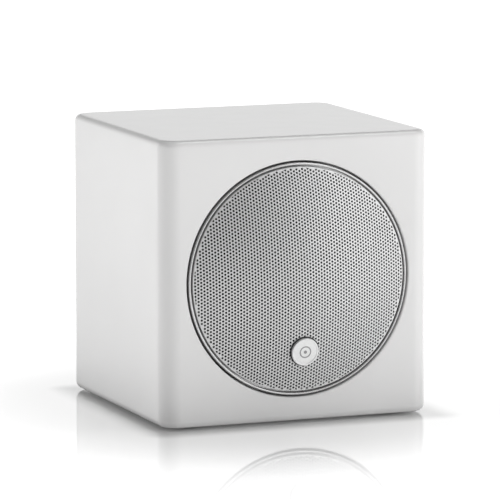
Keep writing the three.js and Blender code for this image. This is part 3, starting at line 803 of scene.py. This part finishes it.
BADGE = {"below": 31.0, "stand_off": 1.3, "radius": 6.25, "thick": 1.0, "rim": 0.25}
# painted shade: a dark ring, wider than the badge, stands for the shaded gap round the badge's edge
SHADE_RING = {"inner": 4.9, "outer": BADGE["radius"] + 0.45}  # the thin dark ring under the badge


def badge_place():
    """The badge stands square on the dome, below the grille's middle."""
    slope = math.asin(BADGE["below"] / SPHERE)
    out = Matrix.Translation((0, -SPHERE - BADGE["stand_off"], 0))
    centre = ON_AXIS @ Matrix.Translation((0, DOME_FRONT + SPHERE, 0))
    tilt = Matrix.Rotation(slope, 4, "X")
    return centre @ Matrix.Rotation(-GRILLE_TURN, 4, "Y") @ tilt @ out


def badge():
    """A plain disc with a raised rim. Its mark is a ring and a dot, let into the face."""
    radius, thick, rim = BADGE["radius"], BADGE["thick"], BADGE["rim"]
    corners = [
        (0, 0, 0),
        (radius - 0.95, 0, 0.08),
        (radius - 0.8, -rim, 0.08),
        (radius - 0.1, -rim, 0.2),
        (radius, thick, 0.1),
        (0, thick, 0),
    ]
    disc = turned(rounded(corners, closed=False), 96).placed(badge_place()).built("badge_disc")
    dressed(disc, "badge")
    # painted shade: the dark ring under the badge shows past its edge as the shaded gap round it
    shade_ring_back = thick + 0.25
    seat = [(SHADE_RING["inner"], thick + 0.02, 0), (SHADE_RING["outer"], thick + 0.02, 0.1)]
    seat += [(SHADE_RING["outer"], shade_ring_back, 0.1), (SHADE_RING["inner"], shade_ring_back, 0)]
    pad = turned(rounded(seat), 96).placed(badge_place()).built("badge_shade_ring")
    added(pad, "badge", LOOKS["rubber"])
    low, high = -0.04, 0.05
    circle_mark = rounded([(2.15, high, 0), (2.15, low, 0.03), (2.7, low, 0.03), (2.7, high, 0)])
    dot_mark = rounded([(0, low, 0), (0.75, low, 0.03), (0.75, high, 0), (0, high, 0)], closed=False)
    for number, section in enumerate((circle_mark, dot_mark), 1):
        inlay = turned(section, 64).placed(badge_place()).built(f"badge_inlay_{number}")
        added(inlay, "badge", BADGE_INLAY)


badge()

# ---- plain rings


def ring(node, name, inner, edges=(0.3, 0.3), count=128):
    """A turned ring of square section, with rounded edges at its front and its back."""
    low, high = extent(node)
    centre, outer = middle(node), (high.x - low.x) / 2
    front, back = edges
    corners = [(inner, low.y, front), (outer, low.y, front)]
    corners += [(outer, high.y, back), (inner, high.y, back)]
    place = Matrix.Translation((centre.x, 0, centre.z))
    dressed(turned(rounded(corners), count).placed(place).built(name), node)


ring("grille_frame", "grille_stiffener", 44.4, (0.2, 0.4))
ring("top_plate", "motor_top_plate", 13.8)
ring("ring_magnet", "ferrite_ring", 16, (0.8, 0.8))
ring("tweeter_magnet", "neodymium_slug", 2)

# ---- fasteners


def cross(arm, half_width):
    """The outline of a cross recess."""
    a, w = arm, half_width
    quadrant = [(w, a), (w, w), (a, w)]
    turns = [(1, 1, False), (1, -1, True), (-1, -1, False), (-1, 1, True)]
    outline = []
    for u, v, flip in turns:
        points = [(u * x, v * y) for x, y in quadrant]
        outline += points[::-1] if flip else points
    return outline


def cross_cutter(size, top, bottom):
    """A tapered cross recess, as wide as size at the top."""
    taper = 0.55
    layers = [(cross(size, 0.28 * size), top), (cross(size * taper, 0.22 * size), bottom)]
    return stack(layers)


def screw(node, name, section, recess, place):
    """A screw whose head faces depth 0, with a cross recess of (size, top, bottom)."""
    body = turned(section, 48).placed(place).built(name)
    cutter = cross_cutter(*recess).placed(place).built(name + "_recess")
    dressed(carved(body, cutter), node)


def head_place(node, head_at_back):
    """Where a screw's head stands, and which way it faces."""
    low, high = extent(node)
    seat = high.y if head_at_back else low.y
    turn = math.pi if head_at_back else 0.0
    centre = middle(node)
    return Matrix.Translation((centre.x, seat, centre.z)) @ Matrix.Rotation(turn, 4, "Z")


def countersunk(head, shank, length):
    corners = [(0, 0, 0), (head, 0, 0.12), (head - 0.1, 0.35, 0.05), (shank, head - shank + 0.2, 0.2)]
    corners += [(shank, length - 3, 0.2), (0, length, 0)]
    return rounded(corners, closed=False, steps=3)


def pan_head(head, height, shank, length):
    corners = [(0, 0, 0), (head * 0.75, 0, 0.5), (head, height * 0.6, 0.3), (head, height, 0.1)]
    corners += [(shank, height, 0.1), (shank, length - 2, 0.2), (0, length, 0)]
    return rounded(corners, closed=False, steps=4)


def pan_screw(node, name, shank, recess, head_at_back):
    low, high = extent(node)
    section = pan_head((high.x - low.x) / 2, 1.2, shank, high.y - low.y)
    screw(node, name, section, (recess, -0.1, 0.95), head_place(node, head_at_back))


def panel_screw(node, name):
    low, high = extent(node)
    section = countersunk((high.x - low.x) / 2, 1.4, high.y - low.y)
    screw(node, name, section, (1.75, -0.1, 1.9), head_place(node, True))


for number in range(1, 5):
    panel_screw(f"rear_panel_screw_{number}", f"panel_screw_{number}")
    pan_screw(f"driver_screw_{number}", f"frame_screw_{number}", 1.3, 1.15, False)
for number in (1, 2):
    pan_screw(f"terminal_cup_screw_{number}", f"recess_screw_{number}", 1.2, 1.2, True)

# ---- rear panel and bracket insert

CUP = {"half_width": 20.0, "half_height": 16.0, "wall": 1.8, "flange": 5.0, "lip": 1.8}
CUP_UP = middle("terminal_cup").z


def panel_outline(node, corner=3.6):
    """The square outline of the rear panel or of its gasket, drawn in by an inset."""
    half = extent(node)[1].x
    return lambda inset: rectangle(half - inset, half - inset, corner - inset, up=AXIS_UP)


def rear_panel():
    low, high = extent("rear_panel")
    cup = rectangle(CUP["half_width"] + 0.3, CUP["half_height"] + 0.3, 3.0, up=CUP_UP)
    insert = circle(4.9, 48, up=middle("wall_bracket_insert").z)
    holes = [through(cup, low, high), through(insert, low, high)]
    countersink = [(3.75, high.y), (3.6, high.y - 0.15), (1.8, high.y - 1.95), (1.8, low.y)]
    for at in places("rear_panel_screw"):
        holes.append([(circle(radius, 48, at.x, at.z), depth) for radius, depth in countersink])
    panel = plate(panel_outline("rear_panel"), low.y, high.y, 0.6, holes)
    dressed(panel.built("rear_plate"), "rear_panel")


def gasket(node, name, outline, edge, opening, screws, hole_radius):
    """A flat foam seal with an opening and a hole for each screw."""
    low, high = extent(node)
    shapes = [opening] + [circle(hole_radius, 32, at.x, at.z) for at in places(screws)]
    holes = [through(shape, low, high) for shape in shapes]
    dressed(plate(outline, low.y, high.y, edge, holes).built(name), node)


def rear_gasket():
    """The seal between the panel and the cabinet's ledge."""
    node = "rear_panel_gasket"
    opening = rectangle(LEDGE["half"], LEDGE["half"], LEDGE["corner"], up=AXIS_UP)
    gasket(node, "rear_seal", panel_outline(node), 0.25, opening, "rear_panel_screw", 1.8)


def bracket_insert():
    """A flanged brass insert with an internal thread."""
    low, high = extent("wall_bracket_insert")
    hole, body, flange, step = 3.0, 4.6, high.x, high.y - 1.1
    pitch, thread = 1.0, 0.45
    corners = [(hole, low.y, 0), (body, low.y, 0.3), (body, step, 0), (flange, step, 0.1)]
    corners += [(flange, high.y, 0.4), (hole + 0.5, high.y, 0.1), (hole, high.y - 0.5, 0)]
    section = rounded(corners)
    for turn in range(int((high.y - low.y - 1.5) / pitch)):
        depth = high.y - 0.8 - turn * pitch
        section += [(hole, depth), (hole - thread, depth - pitch / 2)]
    place = Matrix.Translation((0, 0, middle("wall_bracket_insert").z))
    dressed(turned(section, 64).placed(place).built("bracket_thread_insert"), "wall_bracket_insert")


rear_panel()
rear_gasket()
bracket_insert()

# ---- terminal cup and binding posts

STUD = {name: middle(f"{name}_post_stud") for name in ("positive", "negative")}
CUP_FLOOR = extent("positive_post_base")[0].y - 0.1
POST_BORE = 3.6  # the holes of the pieces that sit on a stud


def terminal_cup():
    """The moulded recess for the posts: a flange, four walls and a floor with two holes."""
    low, high = extent("terminal_cup")
    half_width, half_height, wall = CUP["half_width"], CUP["half_height"], CUP["wall"]
    seat = high.y - CUP["lip"]
    shape = Shape()

    def box(grow, corner, depth):
        outline = rectangle(half_width + grow, half_height + grow, corner, up=CUP_UP)
        return shape.flat_loop(outline, depth)

    outside = [box(0, 3.0, low.y), box(0, 3.0, seat)]
    flange = [box(CUP["flange"], 4.0, seat)]
    for inset, travel in quarter(0.9)[::-1]:
        flange.append(box(CUP["flange"] - inset, 4.0 - inset, high.y - travel))
    mouth = [box(travel - wall, 2.0 + travel, high.y - inset) for inset, travel in quarter(0.6)[::-1]]
    base = [box(-wall - inset, 2.0 - inset, CUP_FLOOR + travel) for inset, travel in quarter(0.8)[::-1]]
    shape.band(*outside)
    shape.region(flange[0], outside[1])
    shape.bands(flange)
    shape.region(flange[-1], mouth[0])
    shape.bands([*mouth, *base])
    ends, starts = [], []
    for at in STUD.values():
        hole = circle(3.7, 48, at.x, at.z)
        starts.append(shape.flat_loop(hole, CUP_FLOOR))
        ends.append(shape.flat_loop(hole, low.y))
        shape.band(starts[-1], ends[-1])
    shape.region(base[-1], *starts)
    shape.region(outside[0], *ends)
    dressed(shape.built("terminal_recess"), "terminal_cup")


def fluted(radius, cut, flutes=20, count=160):
    """A round outline with shallow grip flutes."""
    outline = []
    for k in range(count):
        turn = 2 * math.pi * k / count
        reach = radius - cut * (0.5 - 0.5 * math.cos(flutes * turn)) ** 2
        outline.append((reach * math.sin(turn), reach * math.cos(turn)))
    return outline


def post_cap(name, at):
    """A screw cap: a plain nose that clamps a wire, and a fluted grip."""
    node = f"{name}_post_cap"
    low, high = extent(node)
    radius, bore = 6.0, POST_BORE
    rows = [
        (bore, 0, low.y),
        (5.0, 0, low.y),
        (5.3, 0, low.y + 0.3),
        (5.3, 0, low.y + 1.8),
        (5.45, 0, low.y + 2.1),
        (radius - 0.2, 0.15, low.y + 2.3),
        (radius, 0.45, low.y + 2.7),
        (radius, 0.45, high.y - 1.0),
        (radius - 0.15, 0.3, high.y - 0.5),
        (radius - 0.55, 0.05, high.y - 0.12),
        (radius - 0.9, 0, high.y),
        (bore + 0.7, 0, high.y),
        (bore, 0, high.y - 0.7),
    ]
    shape = Shape()
    loops = [shape.flat_loop(fluted(reach, cut), depth) for reach, cut, depth in rows]
    shape.bands([*loops, loops[0]])
    place = Matrix.Translation((at.x, 0, at.z))
    dressed(shape.placed(place).built(f"{name}_screw_cap"), node)


def post_stud(name, at):
    """A threaded rod with a plug socket in its end and a cross hole for bare wire."""
    node = f"{name}_post_stud"
    low, high = extent(node)
    radius, thread, pitch, count, rows = 3.35, 0.3, 0.8, 48, 8
    length = high.y - low.y
    steps = int(length / pitch * rows)
    shape = Shape()
    loops = []
    for k in range(steps + 1):
        depth = low.y + length * k / steps
        at_end = min(depth - low.y, high.y - depth) < pitch
        outline = []
        for turn in (2 * math.pi * i / count for i in range(count)):
            phase = ((depth - low.y) / pitch - turn / (2 * math.pi)) % 1
            reach = radius - (0.2 if at_end else thread * abs(2 * phase - 1))
            outline.append((reach * math.sin(turn), reach * math.cos(turn)))
        loops.append(shape.flat_loop(outline, depth))
    socket = 2.05
    inner = [(socket + 0.4, high.y), (socket, high.y - 0.4)]
    inner += [(socket, CUP_FLOOR + 1.2), (0.9, CUP_FLOOR + 1.0)]
    loops += [shape.flat_loop(circle(reach, count), depth) for reach, depth in inner]
    shape.bands(loops)
    shape.region(loops[0])
    shape.region(loops[-1])
    place = Matrix.Translation((at.x, 0, at.z))
    rod = shape.placed(place).built(f"{name}_threaded_stud")
    hole_at = Matrix.Translation((at.x, CUP_FLOOR + 5.0, at.z)) @ Matrix.Rotation(math.pi / 2, 4, "X")
    hole = stack([(circle(1.4, 32), -5.0), (circle(1.4, 32), 5.0)]).placed(hole_at)
    dressed(carved(rod, hole.built(f"{name}_wire_hole")), node)


def post_nut(name, at):
    node = f"{name}_post_nut"
    low, high = extent(node)
    radius = high.x - at.x

    def hexagon(inset):
        return circle(radius - inset, 6, at.x, at.z)

    bore = through(circle(POST_BORE, 48, at.x, at.z), low, high)
    dressed(plate(hexagon, low.y, high.y, 0.3, [bore]).built(f"{name}_hex_nut"), node)


terminal_cup()
for post, stud_middle in STUD.items():
    post_stud(post, stud_middle)
    post_cap(post, stud_middle)
    post_nut(post, stud_middle)
    ring(f"{post}_post_base", f"{post}_collar", POST_BORE, (0.2, 0.7), 96)
    ring(f"{post}_post_washer", f"{post}_plated_washer", POST_BORE, (0.2, 0.3), 96)

# ---- driver behind the grille

CONE = {"rim_radius": 34.8, "rim": 7.2, "neck_radius": 13.0, "neck": 20.5, "thick": 0.35, "bow": 0.7}
ROLL = {"radius": 38.75, "depth": 5.4, "outside": 4.0, "thick": 0.6}


def stretched_between(piece, node, inner, outer):
    """The piece follows the cone inside one radius and the cabinet outside another."""
    centre = ORIGIN + Vector((0, 0, AXIS_UP)) * MM
    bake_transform(piece, "cabinet", "cone", start=centre, end=centre + Vector((0, MM, 0)))
    weights = []
    for vertex in piece.data.vertices:
        radius = math.hypot(vertex.co.x - centre.x, vertex.co.z - centre.z) / MM
        share = min(1.0, max(0.0, (outer - radius) / (outer - inner)))
        weights.append(share * share * (3 - 2 * share))
    piece.data.attributes["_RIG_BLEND"].data.foreach_set("value", weights)
    dressed(piece, node)


def half_roll(radius, steps=18):
    """Points along the surround's roll, from its inner foot over its crest to its outer foot."""
    centre, depth = ROLL["radius"], ROLL["depth"]
    turns = [math.pi * k / steps for k in range(steps + 1)]
    return [(centre - radius * math.cos(a), depth - radius * math.sin(a)) for a in turns]


def surround():
    """The rubber half roll between the cone's rim and the frame."""
    high = extent("surround")[1]
    inner, outer = 33.4, high.x
    foot = high.y - 0.5
    outside = [(inner, foot), (inner + 0.5, foot - 0.1), *half_roll(ROLL["outside"])]
    outside += [(outer, ROLL["depth"]), (outer, ROLL["depth"] + 0.9), (43.4, ROLL["depth"] + 0.9)]
    inside = half_roll(ROLL["outside"] - ROLL["thick"])[::-1]
    section = outside + inside + [(35.0, high.y), (inner, high.y)]
    roll = turned(section, 160).placed(ON_AXIS).built("rubber_surround", sharp=60, even=False)
    stretched_between(roll, "surround", 34.6, 43.0)


def spider():
    """The pleated disc that centres the coil."""
    low, high = extent("spider")
    inner, outer, pleats, steps = 13.2, high.x, 5, 80
    centre = (low.y + high.y - 0.4) / 2
    rows = []
    for k in range(steps + 1):
        share = k / steps
        fade = math.sin(math.pi * share) ** 0.5
        pleat = 0.6 * fade * math.sin(2 * math.pi * pleats * share)
        rows.append((inner + (outer - inner) * share, centre + pleat))
    section = rows + [(radius, depth + 0.4) for radius, depth in reversed(rows)]
    disc = turned(section, 96).placed(ON_AXIS).built("pleated_spider", even=False)
    stretched_between(disc, "spider", inner + 1.0, outer - 1.0)


def cone():
    """A thin metal cone with a slight bow, a rolled rim and a short neck on the coil."""
    steps = 24
    rim_radius, neck_radius = CONE["rim_radius"], CONE["neck_radius"]
    front = []
    for k in range(steps + 1):
        share = k / steps
        bow = CONE["bow"] * 4 * share * (1 - share)
        depth = CONE["rim"] + (CONE["neck"] - 1.0 - CONE["rim"]) * share
        front.append((rim_radius - 0.8 - (rim_radius - 0.8 - neck_radius) * share, depth + bow))
    back = [(radius + 0.2, depth + CONE["thick"]) for radius, depth in reversed(front)]
    rim = [(rim_radius - 0.1, CONE["rim"] + CONE["thick"]), (rim_radius, CONE["rim"] + 0.1)]
    rim += [(rim_radius - 0.3, CONE["rim"] - 0.15)]
    neck = [(neck_radius, CONE["neck"] + 1.0), (neck_radius + 0.2, CONE["neck"] + 1.0)]
    turned_piece(front + neck + back + rim, "metal_cone", "cone", 160, even=False)


def tweeter():
    """The dome, and the short flare round it."""
    low, high = extent("tweeter_dome")
    edge, sphere, steps = high.x, 14.0, 16
    centre = low.y + sphere
    radii = [edge * k / steps for k in range(steps + 1)]
    front = [(r, centre - math.sqrt(sphere**2 - r**2)) for r in radii]
    back = [(r, centre - math.sqrt((sphere - 0.3) ** 2 - r**2)) for r in reversed(radii[:-1])]
    section = front + [(edge, high.y), (edge - 0.3, high.y), *back]
    turned_piece(section, "metal_dome", "tweeter_dome", 96)

    low, high = extent("tweeter_faceplate")
    outer = high.x
    corners = [
        (edge + 0.5, high.y, 0),
        (edge + 0.5, low.y + 1.6, 0.3),
        (edge + 1.2, low.y, 0.3),
        (outer, low.y, 0.4),
        (outer, high.y, 0),
    ]
    turned_piece(rounded(corners), "tweeter_flare", "tweeter_faceplate", 96)


def driver_frame():
    """The cast basket: a flange for four screws, six windows, and a seat for the magnet."""
    low, high = extent("driver_frame")
    outer = high.x
    corners = [
        (42.6, low.y, 0.3),
        (outer, low.y, 0.4),
        (outer, 8.9, 0.2),
        (43.6, 8.9, 0.6),
        (43.2, 17, 2.0),
        (37.4, 26.4, 2.0),
        (36.0, high.y, 0.4),
        (30.0, high.y, 0.3),
        (30.0, 28.8, 0.3),
        (33.0, 28.6, 1.0),
        (35.0, 25.4, 1.5),
        (40.8, 16, 1.5),
        (41.4, 9.4, 0.8),
    ]
    basket = turned(rounded(corners, steps=4), 160).placed(ON_AXIS).built("cast_basket")
    window = [(rectangle(60, 12, 3), 12.1), (rectangle(60, 12, 3), 25.1)]
    cutters = []
    for turn in (math.pi / 6, math.pi / 2, 5 * math.pi / 6):
        place = ON_AXIS @ Matrix.Rotation(turn, 4, "Y")
        cutters.append(stack(window).placed(place).built("window"))
    for at in places("driver_screw"):
        hole = circle(1.8, 32, at.x, at.z)
        cutters.append(stack([(hole, low.y - 1), (hole, 9.5)]).built("hole"))
    dressed(carved(basket, *cutters), "driver_frame")


def driver_gasket():
    """The seal under the driver's flange."""
    outer = extent("driver_gasket")[1].x

    def outline(inset):
        return circle(outer - inset, 128, up=AXIS_UP)

    opening = circle(44.7, 128, up=AXIS_UP)
    gasket("driver_gasket", "driver_seal", outline, 0.2, opening, "driver_screw", 1.6)


def motor():
    """The pole piece with its back plate, the coil on its former, and the tweeter's housing."""
    low, high = extent("pole_piece")
    outer, pole, bore, step = high.x, 12.2, 3.0, high.y - 4.9
    corners = [(bore, low.y, 0.3), (pole, low.y, 0.4), (pole, step, 0.6), (outer, step, 0.5)]
    corners += [(outer, high.y, 1.2), (bore, high.y, 0.6)]
    turned_piece(rounded(corners), "vented_yoke", "pole_piece")

    low, high = extent("voice_coil")
    inner, former, pitch, start = 12.6, 12.85, 0.5, 28.0
    wound = [(inner, low.y), (former, low.y), (former, start)]
    for turn in range(int((high.y - start) / pitch)):
        wound += [(former + 0.25, start + turn * pitch), (high.x, start + (turn + 0.5) * pitch)]
    wound += [(former + 0.25, high.y), (inner, high.y)]
    turned_piece(wound, "wound_voice_coil", "voice_coil", 96, even=False)

    low, high = extent("tweeter_housing")
    outer, inner, wall = high.x, 10.8, 2.0
    corners = [(inner, low.y, 0.2), (outer, low.y, 0.2), (outer, high.y, 0.8), (bore, high.y, 0.3)]
    corners += [(bore, high.y - wall, 0.2), (inner, high.y - wall, 0.6)]
    turned_piece(rounded(corners), "tweeter_can", "tweeter_housing", 96)


surround()
spider()
cone()
tweeter()
driver_frame()
driver_gasket()
motor()

# ---- crossover and wadding


def inductor(node, name, inner, wire):
    """An air-cored coil: layers of enamelled wire, of which the outer and end turns show."""
    low, high = extent(node)
    outer, height = (high.x - low.x) / 2, high.z - low.z
    rows = int(height / wire)
    pitch = height / rows
    columns = int((outer - inner) / wire)
    step = (outer - inner) / columns
    crest, valley = pitch * 0.16, pitch * 0.04
    section = []

    def turns(start, along, across, count, width):
        for k in range(count):
            for share, sink in ((0.05, crest), (0.3, valley), (0.5, 0), (0.7, valley), (0.95, crest)):
                travel = (k + share) * width
                point = (s + a * travel - c * sink for s, a, c in zip(start, along, across))
                section.append(tuple(point))

    turns((inner, 0), (1, 0), (0, -1), columns, step)
    turns((outer, 0), (0, 1), (1, 0), rows, pitch)
    turns((outer, height), (-1, 0), (0, 1), columns, step)
    section += [(inner, height), (inner, 0)]
    winding = turned(section, 96).placed(upright(node) @ Matrix.Scale(-1, 4, (0, 1, 0)))
    dressed(winding.built(name, even=False), node)


def capacitor(node, name, corners):
    """A capacitor turned about its length. corners(radius, length) gives its half section."""
    low, high = extent(node)
    section = rounded(corners((high.z - low.z) / 2, high.x - low.x), closed=False)
    end = Matrix.Translation((low.x, middle(node).y, middle(node).z))
    lying = turned(section, 64).placed(end @ Matrix.Rotation(-math.pi / 2, 4, "Z"))
    dressed(lying.built(name), node)


def film_section(radius, length):
    return [(0, 0, 0), (radius, 0, 1.0), (radius, length, 1.0), (0, length, 0)]


def can_section(radius, length):
    """A can with a groove rolled round it near its sealed end."""
    corners = [(0, 0.5, 0), (radius - 1.4, 0.5, 0.2), (radius - 1.0, 0, 0.3), (radius, 0, 0.7)]
    corners += [(radius, 2.4, 0.4), (radius - 0.6, 3.0, 0.4), (radius, 3.6, 0.4)]
    return corners + [(radius, length, 0.8), (0, length, 0)]


def pillow(node, name, corner, edge):
    """A block with rounded edges all round."""
    low, high = extent(node)
    centre, half = middle(node), (high - low) / 2
    layers = []

    def layer(inset, depth):
        outline = rectangle(half.x - inset, half.z - inset, corner - inset * 0.5, up=centre.z)
        layers.append(([(u + centre.x, v) for u, v in outline], depth))

    for inset, travel in quarter(edge):
        layer(inset, low.y + travel)
    for inset, travel in quarter(edge)[::-1]:
        layer(inset, high.y - travel)
    block = stack(layers).built(name)
    dressed(block, node)
    return block


def fibre_wadding():
    """Loose fibre folded round the cavity's top and sides, lumpy all over."""
    node = "damping_wadding"
    low, high = extent(node)
    thick, voxel, swell = 9.0, 1.3, 0.9
    inner, top = high.x - thick, high.z - thick
    corners = [
        (low.x, low.z, 2.5),
        (-inner, low.z, 2.5),
        (-inner, top, 3),
        (inner, top, 3),
        (inner, low.z, 2.5),
        (high.x, low.z, 2.5),
        (high.x, high.z, 5),
        (low.x, high.z, 5),
    ]
    outline = rounded(corners, steps=5)
    piece = stack([(outline, low.y), (outline, high.y)]).built("fibre_wadding", even=False)
    remesh = piece.modifiers.new("fibre", "REMESH")
    remesh.mode = "VOXEL"
    remesh.voxel_size = voxel * MM
    soft = carved(piece)
    mesh = soft.data
    moved = []
    for vertex in mesh.vertices:
        at = vertex.co / MM
        lumps = noise.fractal(at * 0.11, 0.9, 2.1, 4) + 0.35 * noise.noise(at * 0.9)
        sink = swell * (1 + max(-1.0, min(1.0, lumps)))
        moved.append(vertex.co - vertex.normal * sink * MM)
    for vertex, place in zip(mesh.vertices, moved):
        vertex.co = place
    dressed(shaded(soft, 180, False), node)


inductor("bass_inductor", "bass_winding", 6.0, 0.9)
inductor("tweeter_inductor", "tweeter_winding", 4.0, 0.7)
capacitor("film_capacitor", "axial_film_capacitor", film_section)
capacitor("electrolytic_capacitor", "sleeved_capacitor", can_section)
pillow("ceramic_resistor", "cement_resistor", 0.8, 0.6)
pillow("crossover_board", "etched_board", 0.5, 0.3)
pillow("driver_terminal_strip", "riveted_strip", 0.6, 0.4)
pillow("board_foam_pad", "foam_strip", 1.2, 1.0)
fibre_wadding()

# ---- stage, light and camera

# The floor's glow is painted shade round the speaker: it glows more, and loses its gloss, away from
# the speaker's middle, and a painted contact shadow makes it darkest at the cabinet's foot. Distances are in
# metres.
PAINTED_FLOOR_SHADE = {"start": 0.08, "end": 0.19, "near": 0.36, "far": 0.7}
GLOSS_FADE = {"start": 0.1, "end": 0.24}
# painted contact shadow: how far round the cabinet the floor's glow is cut, and the share of glow left under
# it
PAINTED_CONTACT_SHADOW = {"reach": 0.014, "under": 0.1}


def vector_maths(look, operation, vector, *operand):
    maths = look.node("ShaderNodeVectorMath", operation=operation)
    look.link(vector, maths.inputs[0])
    if operand:
        maths.inputs[1].default_value = operand
    return maths.outputs["Value" if operation == "LENGTH" else "Vector"]


def floor():
    """A pale glossy floor whose glow is painted: painted shade round the speaker fades to white away from
    it, and a painted contact shadow darkens the cabinet's foot.
    """
    mesh = bpy.data.meshes.new("floor")
    half = 6.0
    corners = [(-half, -half, 0), (half, -half, 0), (half, half, 0), (-half, half, 0)]
    mesh.from_pydata(corners, [], [(0, 1, 2, 3)])
    made = bpy.data.objects.new("floor", mesh)
    bpy.context.scene.collection.objects.link(made)
    look = Look("pale floor", grey(0.8), 0.04, Coat_Roughness=0.04)
    look.shader.inputs["Emission Color"].default_value = (1, 1, 1, 1)
    from_middle = vector_maths(look, "LENGTH", look.place)
    mirrored = vector_maths(look, "ABSOLUTE", look.place)
    beyond = vector_maths(look, "SUBTRACT", mirrored, WIDTH * MM / 2, DEPTH * MM / 2, 0)
    from_cabinet = vector_maths(look, "LENGTH", vector_maths(look, "MAXIMUM", beyond, 0, 0, 0))
    # painted shade: the floor glows less near the speaker's middle
    shaded_glow = look.eased(from_middle, PAINTED_FLOOR_SHADE["start"], PAINTED_FLOOR_SHADE["end"], PAINTED_FLOOR_SHADE["near"], PAINTED_FLOOR_SHADE["far"])
    # painted contact shadow: the glow drops to a tenth at the cabinet's foot
    contact_shadow = look.eased(from_cabinet, 0, PAINTED_CONTACT_SHADOW["reach"], PAINTED_CONTACT_SHADOW["under"], 1)
    look.link(look.product(shaded_glow, contact_shadow), look.shader.inputs["Emission Strength"])
    gloss = look.eased(from_middle, GLOSS_FADE["start"], GLOSS_FADE["end"], 1, 0)
    look.link(gloss, look.shader.inputs["Coat Weight"])
    mesh.materials.append(look.material)


def area_light(name, place, target, size, power):
    light = bpy.data.lights.new(name, "AREA")
    light.shape = "RECTANGLE"
    light.size, light.size_y = size
    light.energy = power
    made = bpy.data.objects.new(name, light)
    made.location = place
    made.rotation_euler = (Vector(target) - Vector(place)).to_track_quat("-Z", "Y").to_euler()
    made.visible_camera = False
    bpy.context.scene.collection.objects.link(made)


AIM = (0, 0, 0.06)  # the point that every light panel faces
AMBIENT = 0.05
# The backdrop fades out over these ranges of the upward and the rearward part of a direction.
BACKDROP = {"height": (0.22, 0.46), "behind": (0.4, 0.0), "strength": 0.9}
# A light panel's place and size in metres, and its power in watts.
PANELS = {
    "left": ((-1.3, 0.1, 0.45), (1.0, 0.8), 1.9),
    "back left": ((-0.9, 1.1, 0.45), (1.0, 0.8), 1.7),
    "front": ((0.3, -1.6, 0.7), (2.4, 1.4), 4.4),
    "front right": ((1.1, -1.0, 0.5), (1.4, 1.0), 7.2),
    "top": ((0, 0, 1.4), (1.2, 1.2), 2.2),
    "top edge": ((0.5, -0.2, 1.3), (0.4, 0.8), 4.2),
}


def studio():
    """A white background, a bright backdrop low behind the speaker, and light from soft panels."""
    world = bpy.data.worlds.new("studio")
    sky = Nodes(world)
    direction = sky.node("ShaderNodeSeparateXYZ")
    sky.link(sky.node("ShaderNodeTexCoord").outputs["Generated"], direction.inputs["Vector"])
    height = sky.eased(direction.outputs["Z"], *BACKDROP["height"], 1, 0)
    behind = sky.eased(direction.outputs["Y"], *BACKDROP["behind"], 1, 0)
    brightest = AMBIENT + BACKDROP["strength"]
    strength = sky.ranged(sky.product(height, behind), 0, 1, AMBIENT, brightest, clamp=False)
    light, seen = sky.tree.nodes["Background"], sky.node("ShaderNodeBackground")
    for shade in (light, seen):
        shade.inputs["Color"].default_value = (1, 1, 1, 1)
    sky.link(strength, light.inputs["Strength"])
    mix = sky.node("ShaderNodeMixShader")
    sky.link(sky.node("ShaderNodeLightPath").outputs["Is Camera Ray"], mix.inputs["Fac"])
    sky.link(light.outputs["Background"], mix.inputs[1])
    sky.link(seen.outputs["Background"], mix.inputs[2])
    sky.link(mix.outputs["Shader"], sky.tree.nodes["World Output"].inputs["Surface"])
    bpy.context.scene.world = world
    bpy.context.scene.view_settings.view_transform = "Standard"
    for name, (place, size, power) in PANELS.items():
        area_light(name, place, AIM, size, power)


def camera():
    """A long lens, a little to the left of the front and above the speaker."""
    lens = bpy.data.cameras.new("camera")
    lens.sensor_width = 36.0
    lens.lens = 328.2
    azimuth, elevation = math.radians(21.6), math.radians(8.32)
    distance, right_shift, up_shift = 2.032, 0.00104, 0.00454
    level = math.cos(elevation)
    back = Vector((-math.sin(azimuth) * level, -math.cos(azimuth) * level, math.sin(elevation)))
    right = Vector((math.cos(azimuth), -math.sin(azimuth), 0))
    up = back.cross(right)
    low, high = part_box("cabinet_shell")
    centre = (low + high) / 2
    made = bpy.data.objects.new("camera", lens)
    made.location = centre + back * distance + right * right_shift + up * up_shift
    made.rotation_euler = (-back).to_track_quat("-Z", "Y").to_euler()
    bpy.context.scene.collection.objects.link(made)
    bpy.context.scene.camera = made


floor()
studio()
camera()
